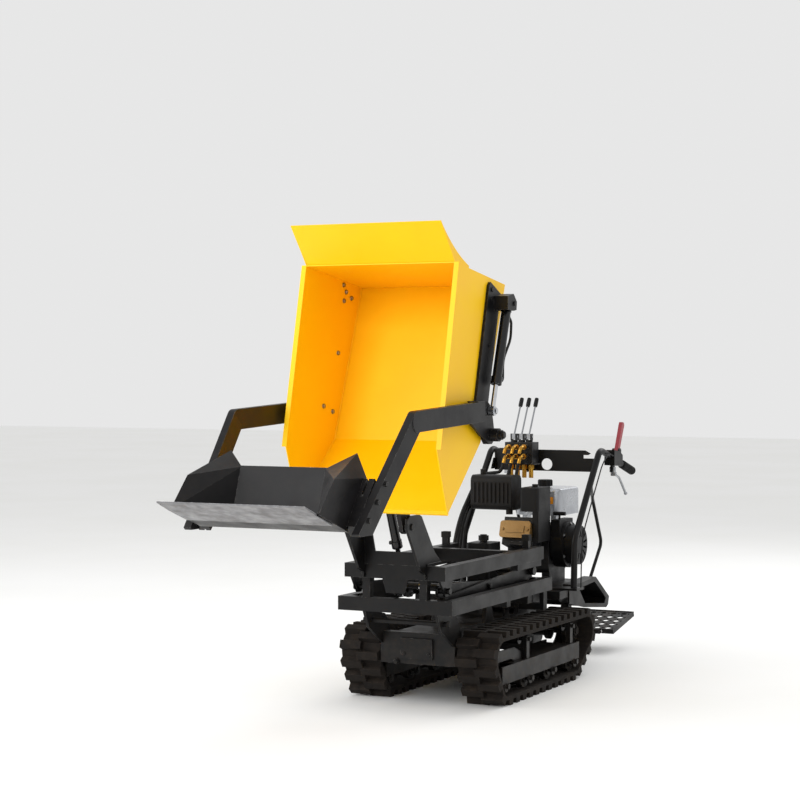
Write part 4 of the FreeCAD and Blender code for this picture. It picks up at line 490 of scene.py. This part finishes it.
def plate(width: float, depth: float, thick: float, corner: float) -> bpy.types.Object:
    """Model one thin plate with rounded corners and a softened edge, flat on the origin."""
    clear()
    bpy.ops.mesh.primitive_cube_add(size=1.0, location=(0.0, 0.0, thick / 2 * MM),
                                    scale=(width * MM, depth * MM, thick * MM))
    sheet = bpy.context.active_object
    bpy.ops.object.transform_apply(location=True, rotation=True, scale=True)
    bpy.ops.object.mode_set(mode="EDIT")
    bpy.ops.mesh.select_all(action="DESELECT")
    bpy.ops.object.mode_set(mode="OBJECT")
    for edge in sheet.data.edges:
        a, b = (sheet.data.vertices[i].co for i in edge.vertices)
        edge.select = abs(a.z - b.z) > thick * 0.9 * MM
    bpy.ops.object.mode_set(mode="EDIT")
    bpy.ops.mesh.select_mode(type="EDGE")
    bpy.ops.mesh.bevel(offset=corner * MM, segments=5, affect="EDGES")
    bpy.ops.object.mode_set(mode="OBJECT")
    bpy.ops.object.modifier_add(type="BEVEL")
    sheet.modifiers[0].width = min(thick * 0.3, 0.6) * MM
    sheet.modifiers[0].segments = 2
    bpy.ops.object.modifier_apply(modifier=sheet.modifiers[0].name)
    return sheet


# ---------------------------------------------------------------- the sub-assemblies
@dataclass
class Undercarriage:
    """The chassis with its rubber tracks, wheels and standing platform."""

    wheels: tuple[str, ...] = ("idler", "sprocket", "bottom_roller_1", "bottom_roller_2", "bottom_roller_3",
                               "bottom_roller_4")
    platform_half: float = 230.0
    platform_front: tuple[float, float] = (1759.0, 121.0)
    platform_rear: tuple[float, float] = (2061.0, 176.0)
    hole_pitch: tuple[float, float] = (54.3, 59.0)
    stud: tuple[float, float] = (6.0, 3.2)

    def finish(self) -> None:
        """Dress the chassis, tracks and wheels."""
        dress(["chassis_frame", "chassis_trim", "track_frames", "platform", "rear_guard"], CHASSIS_COAT)
        dress(["track_belts"], TRACK_RUBBER)
        dress([f"{wheel}_{side}" for wheel in self.wheels for side in ("left", "right")], WHEEL_STEEL)
        dress(["gearbox"], ENGINE_CAST)

    def tread(self) -> None:
        """Model the grip studs between the holes of the platform."""
        rise = self.platform_rear[1] - self.platform_front[1]
        run = self.platform_rear[0] - self.platform_front[0]
        slope = math.atan2(rise, run)
        places = []
        for i in range(9):
            for j in range(5):
                for shift in (0, 1):
                    x = -self.platform_half + 40 + self.hole_pitch[0] * (i - 0.5 + 0.5 * shift)
                    y = 34 + self.hole_pitch[1] * (j + 0.5 * shift)
                    if abs(x) > self.platform_half - 12 or y > math.hypot(run, rise) - 12:
                        continue
                    spot = (self.platform_front[0] + y * math.cos(slope) + 4 * math.sin(slope),
                            self.platform_front[1] + y * math.sin(slope) - 4 * math.cos(slope))
                    way = Vector((0.0, -math.sin(slope), math.cos(slope)))
                    places.append(facing(at(x, *spot), way))
        studs = copies(dome(*self.stud, 0.55, 8), places)
        settle(studs, "platform_studs", "platform", CHASSIS_COAT)


@dataclass
class Lift:
    """The scissor lift between the chassis and the skip's pedestal, with its cylinders."""

    foot_half: float = 149.0                        # half width of the pedestal's foot
    foot_run: tuple[float, float] = (-194.0, -62.0)
    foot_top: float = 613.4
    bead: float = 2.6

    def finish(self) -> None:
        """Dress the two lift frames, the arms between them and the cylinders."""
        dress(["lower_frame", "upper_frame", "scissor_outer", "scissor_inner", "pedestal"], LIFT_COAT)
        dress(["buffer_pads", "post_caps"], RUBBER)
        dress(["dump_barrel", "lift_barrel"], BARREL_ENAMEL)
        dress(["dump_rod", "lift_rod"], ROD_CHROME)

    def welds(self) -> None:
        """Model the beads round the pedestal's foot."""
        rows = []
        for way in (1.0, -1.0):
            ends = [at(way * self.foot_half, y, self.foot_top) for y in self.foot_run]
            rows.append(weld(ends[0], ends[1], self.bead))
        settle(join(rows), "pedestal_welds", "upper", LIFT_COAT)


@dataclass
class Skip:
    """The yellow sheet-steel skip, shown tipped, and the steel bolted to its sides."""

    inner_half: float = 333.0
    screws: tuple[tuple[float, float], ...] = (
        (-10.0, 1762.0), (12.0, 1733.0), (-7.0, 1695.0), (60.0, 1708.0),
        (-61.0, 1474.0), (-189.0, 1252.0), (-110.0, 1228.0))
    knee: tuple[float, float] = (69.0, 675.5)
    rear: tuple[float, float] = (757.0, 675.5)
    lip: tuple[float, float] = (-290.0, 869.0)

    def finish(self) -> None:
        """Dress the skip and its fittings."""
        dress(["skip"], SKIP_COAT)
        dress(["skip_fittings"], LOADER_COAT)

    def wall_screws(self) -> None:
        """Model the screw heads that show inside both walls."""
        places = []
        for y, z in self.screws:
            for way in (1.0, -1.0):
                places.append(facing(at(way * self.inner_half, y, z), Vector((-way, 0.0, 0.0))))
        settle(copies(hex_screw(16.0, 6.0, 11.0), places), "skip_wall_screws", "skip",
               LEVER_STEEL)

    def seams(self) -> None:
        """Model the painted seams along the corners of the floor and the nose."""
        rows = []
        for way in (1.0, -1.0):
            x = way * (self.inner_half - 1.5)
            rows.append(weld(tipped(x, *self.knee), tipped(x, *self.rear), 3.4))
            rows.append(weld(tipped(x, *self.lip), tipped(x, *self.knee), 3.4))
        settle(join(rows), "skip_seams", "skip", SKIP_COAT, 60.0)


@dataclass
class Loader:
    """The shovel on its two arms, with the pair of cylinders that swing it."""

    bolt_row: tuple[float, float] = (-1352.0, 886.4)
    first_bolt: float = -250.0
    bolt_pitch: float = 100.0
    floor_way: tuple[float, float, float] = (0.0, -0.35, 0.94)      # square to the shovel's floor

    def finish(self) -> None:
        """Dress the arms, the shovel and the cylinders."""
        dress(["loader_arms", "shovel"], LOADER_COAT)
        dress(["cutting_plate"], CUTTING_STEEL)
        dress(["loader_barrels"], BARREL_ENAMEL)
        dress(["loader_rods"], ROD_CHROME)
        dress(["cylinder_hoses"], HOSE_RUBBER)

    def plough_bolts(self) -> None:
        """Model the countersunk bolt heads that hold the cutting plate."""
        places = []
        way = Vector(self.floor_way).normalized()
        for i in range(6):
            places.append(facing(at(self.first_bolt + self.bolt_pitch * i, *self.bolt_row), way))
        settle(copies(dome(9.0, 2.2, 0.8, 16), places), "cutting_plate_bolts", "loader",
               CUTTING_STEEL)


@dataclass
class Engine:
    """The petrol engine with its tanks, muffler, pump and guards."""

    shaft: tuple[float, float] = (1332.0, 572.0)
    shroud_face: float = 172.3
    shroud_ring: float = 99.0
    case_face: float = -105.0
    case_ring: tuple[float, float] = (82.0, 75.0)

    def finish(self) -> None:
        """Dress the engine and what is bolted to it."""
        dress(["engine_block", "hydraulic_pump"], ENGINE_CAST)
        dress(["valve_cover"], COVER_BRONZE)
        dress(["muffler"], MUFFLER_ENAMEL)
        dress(["air_cleaner", "recoil_starter", "fuel_cap"], BLACK_PLASTIC)
        dress(["fuel_tank"], TANK_ENAMEL)
        dress(["hydraulic_tank"], CHASSIS_COAT)
        dress(["hoses_and_cables"], HOSE_RUBBER)

    def screws(self) -> None:
        """Model the screws round the fan shroud and on the crankcase cover."""
        places = []
        y, z = self.shaft
        for i in range(6):
            turn = math.radians(60.0 * i + 30.0)
            spot = at(self.shroud_face, y + self.shroud_ring * math.cos(turn),
                      z + self.shroud_ring * math.sin(turn))
            places.append(facing(spot, Vector((1.0, 0.0, 0.0))))
        for i in range(8):
            turn = math.radians(45.0 * i + 20.0)
            spot = at(self.case_face, y + self.case_ring[0] * math.cos(turn),
                      z + self.case_ring[1] * math.sin(turn))
            places.append(facing(spot, Vector((-1.0, 0.0, 0.0))))
        settle(copies(hex_screw(10.0, 5.0, 8.0), places), "engine_screws", "chassis", LEVER_STEEL)

    def label(self) -> None:
        """Model the plain label plate on the front of the fuel tank."""
        sheet = copies(plate(70.0, 34.0, 0.8, 5.0), [facing(at(52.0, 1324.9, 778.0),
                                                            Vector((0.0, -1.0, 0.0)))])
        settle(sheet, "tank_label", "chassis", LABEL_VINYL)


@dataclass
class Controls:
    """The handlebar with its levers, and the hydraulic valve on the cross panel."""

    valve_x: tuple[float, ...] = (-142.0, -103.0, -64.0)

    def finish(self) -> None:
        """Dress the handlebar, the levers and the valve."""
        dress(["handlebar", "operator_panel", "handle_clamps"], LIFT_COAT)
        dress(["hand_grips"], RUBBER)
        dress(["control_valve"], ENGINE_CAST)
        dress(["valve_fittings"], YELLOW_ZINC)
        dress(["valve_lever_1", "valve_lever_2", "valve_lever_3"], LEVER_STEEL)
        dress(["clutch_lever"], LEVER_RED)
        dress(["brake_lever_left", "brake_lever_right"], LEVER_STEEL)

    def lever_knobs(self) -> None:
        """Model the black rubber sleeves over the tops of the valve levers."""
        way = Vector((0.0, 78.0, 140.0)).normalized()
        for number, x in enumerate(self.valve_x, start=1):
            clear()
            bpy.ops.mesh.primitive_cylinder_add(vertices=24, radius=9.4 * MM, depth=46.0 * MM,
                                                location=(0.0, 0.0, 23.0 * MM))
            sleeve = bpy.context.active_object
            bpy.ops.object.transform_apply(location=True, rotation=True, scale=True)
            bpy.ops.object.mode_set(mode="EDIT")
            bpy.ops.mesh.select_all(action="SELECT")
            bpy.ops.mesh.bisect(plane_co=(0.0, 0.0, 10.0 * MM), plane_no=(0.0, 0.0, 1.0))
            bpy.ops.transform.resize(value=(1.12, 1.12, 1.0))
            bpy.ops.mesh.select_all(action="SELECT")
            bpy.ops.mesh.bisect(plane_co=(0.0, 0.0, 34.0 * MM), plane_no=(0.0, 0.0, 1.0))
            bpy.ops.transform.resize(value=(1.04, 1.04, 1.0))
            bpy.ops.object.mode_set(mode="OBJECT")
            bpy.ops.object.modifier_add(type="BEVEL")
            sleeve.modifiers[0].width = 2.0 * MM
            sleeve.modifiers[0].segments = 3
            bpy.ops.object.modifier_apply(modifier=sleeve.modifiers[0].name)
            foot = at(x, 1468.0, 1228.0) - way * (8.0 * MM)
            sleeve.matrix_world = facing(foot, way)
            settle(sleeve, f"lever_sleeve_{number}", f"valve_lever_{number}", BLACK_PLASTIC)


@dataclass
class Studio:
    """The pale floor, the soft light and the camera."""

    camera_at: tuple[float, float, float] = (3.62023, -7.74821, 1.42125)
    tilt: float = 89.0036
    pan: float = 26.318
    lens: float = 89.42

    def floor(self) -> None:
        """Lay the pale floor."""
        clear()
        bpy.ops.mesh.primitive_plane_add(size=60.0, location=(0.0, 0.0, 0.0))
        ground = bpy.context.active_object
        bpy.ops.object.transform_apply(location=True, rotation=True, scale=True)
        ground.name = "studio_floor"
        ground.data.materials.append(material_of(FLOOR_MATT))

    def light(self) -> None:
        """Hang three soft boxes and a white sky."""
        world = bpy.data.worlds.new("white_studio")
        bpy.context.scene.world = world
        world.use_nodes = True
        world.node_tree.nodes["Background"].inputs["Color"].default_value = linear("FFFFFF")
        world.node_tree.nodes["Background"].inputs["Strength"].default_value = 0.8
        boxes = (("key", (-1.2, -6.8, 3.8), 3.0, 205.0), ("fill", (-5.0, -3.0, 3.0), 4.0, 110.0),
                 ("rim", (1.5, 5.0, 5.0), 4.0, 140.0))
        for name, spot, size, power in boxes:
            clear()
            bpy.ops.object.light_add(type="AREA", location=spot)
            lamp = bpy.context.active_object
            lamp.name = f"softbox_{name}"
            lamp.data.size = size
            lamp.data.energy = power
            aim = Vector((0.0, 0.0, 0.9)) - Vector(spot)
            lamp.rotation_euler = aim.to_track_quat("-Z", "Y").to_euler()

    def camera(self) -> None:
        """Stand the camera ahead of the machine and to its left."""
        clear()
        bpy.ops.object.camera_add(location=self.camera_at,
                                  rotation=(math.radians(self.tilt), 0.0, math.radians(self.pan)))
        view = bpy.context.active_object
        view.name = "camera"
        view.data.sensor_width = 36.0
        view.data.sensor_fit = "HORIZONTAL"
        view.data.lens = self.lens
        view.data.clip_end = 200.0
        bpy.context.scene.camera = view
        bpy.context.scene.view_settings.view_transform = "Standard"


def main() -> None:
    """Build and dress the whole machine, one sub-assembly after another."""
    logging.basicConfig(level=logging.INFO, format="%(name)s: %(message)s")
    studio = Studio()
    studio.floor()
    studio.light()
    studio.camera()
    undercarriage = Undercarriage()
    undercarriage.finish()
    undercarriage.tread()
    lift = Lift()
    lift.finish()
    lift.welds()
    skip = Skip()
    skip.finish()
    skip.wall_screws()
    skip.seams()
    loader = Loader()
    loader.finish()
    loader.plough_bolts()
    engine = Engine()
    engine.finish()
    engine.screws()
    engine.label()
    controls = Controls()
    controls.finish()
    controls.lever_knobs()
    clear()


if __name__ == "__main__":
    main()
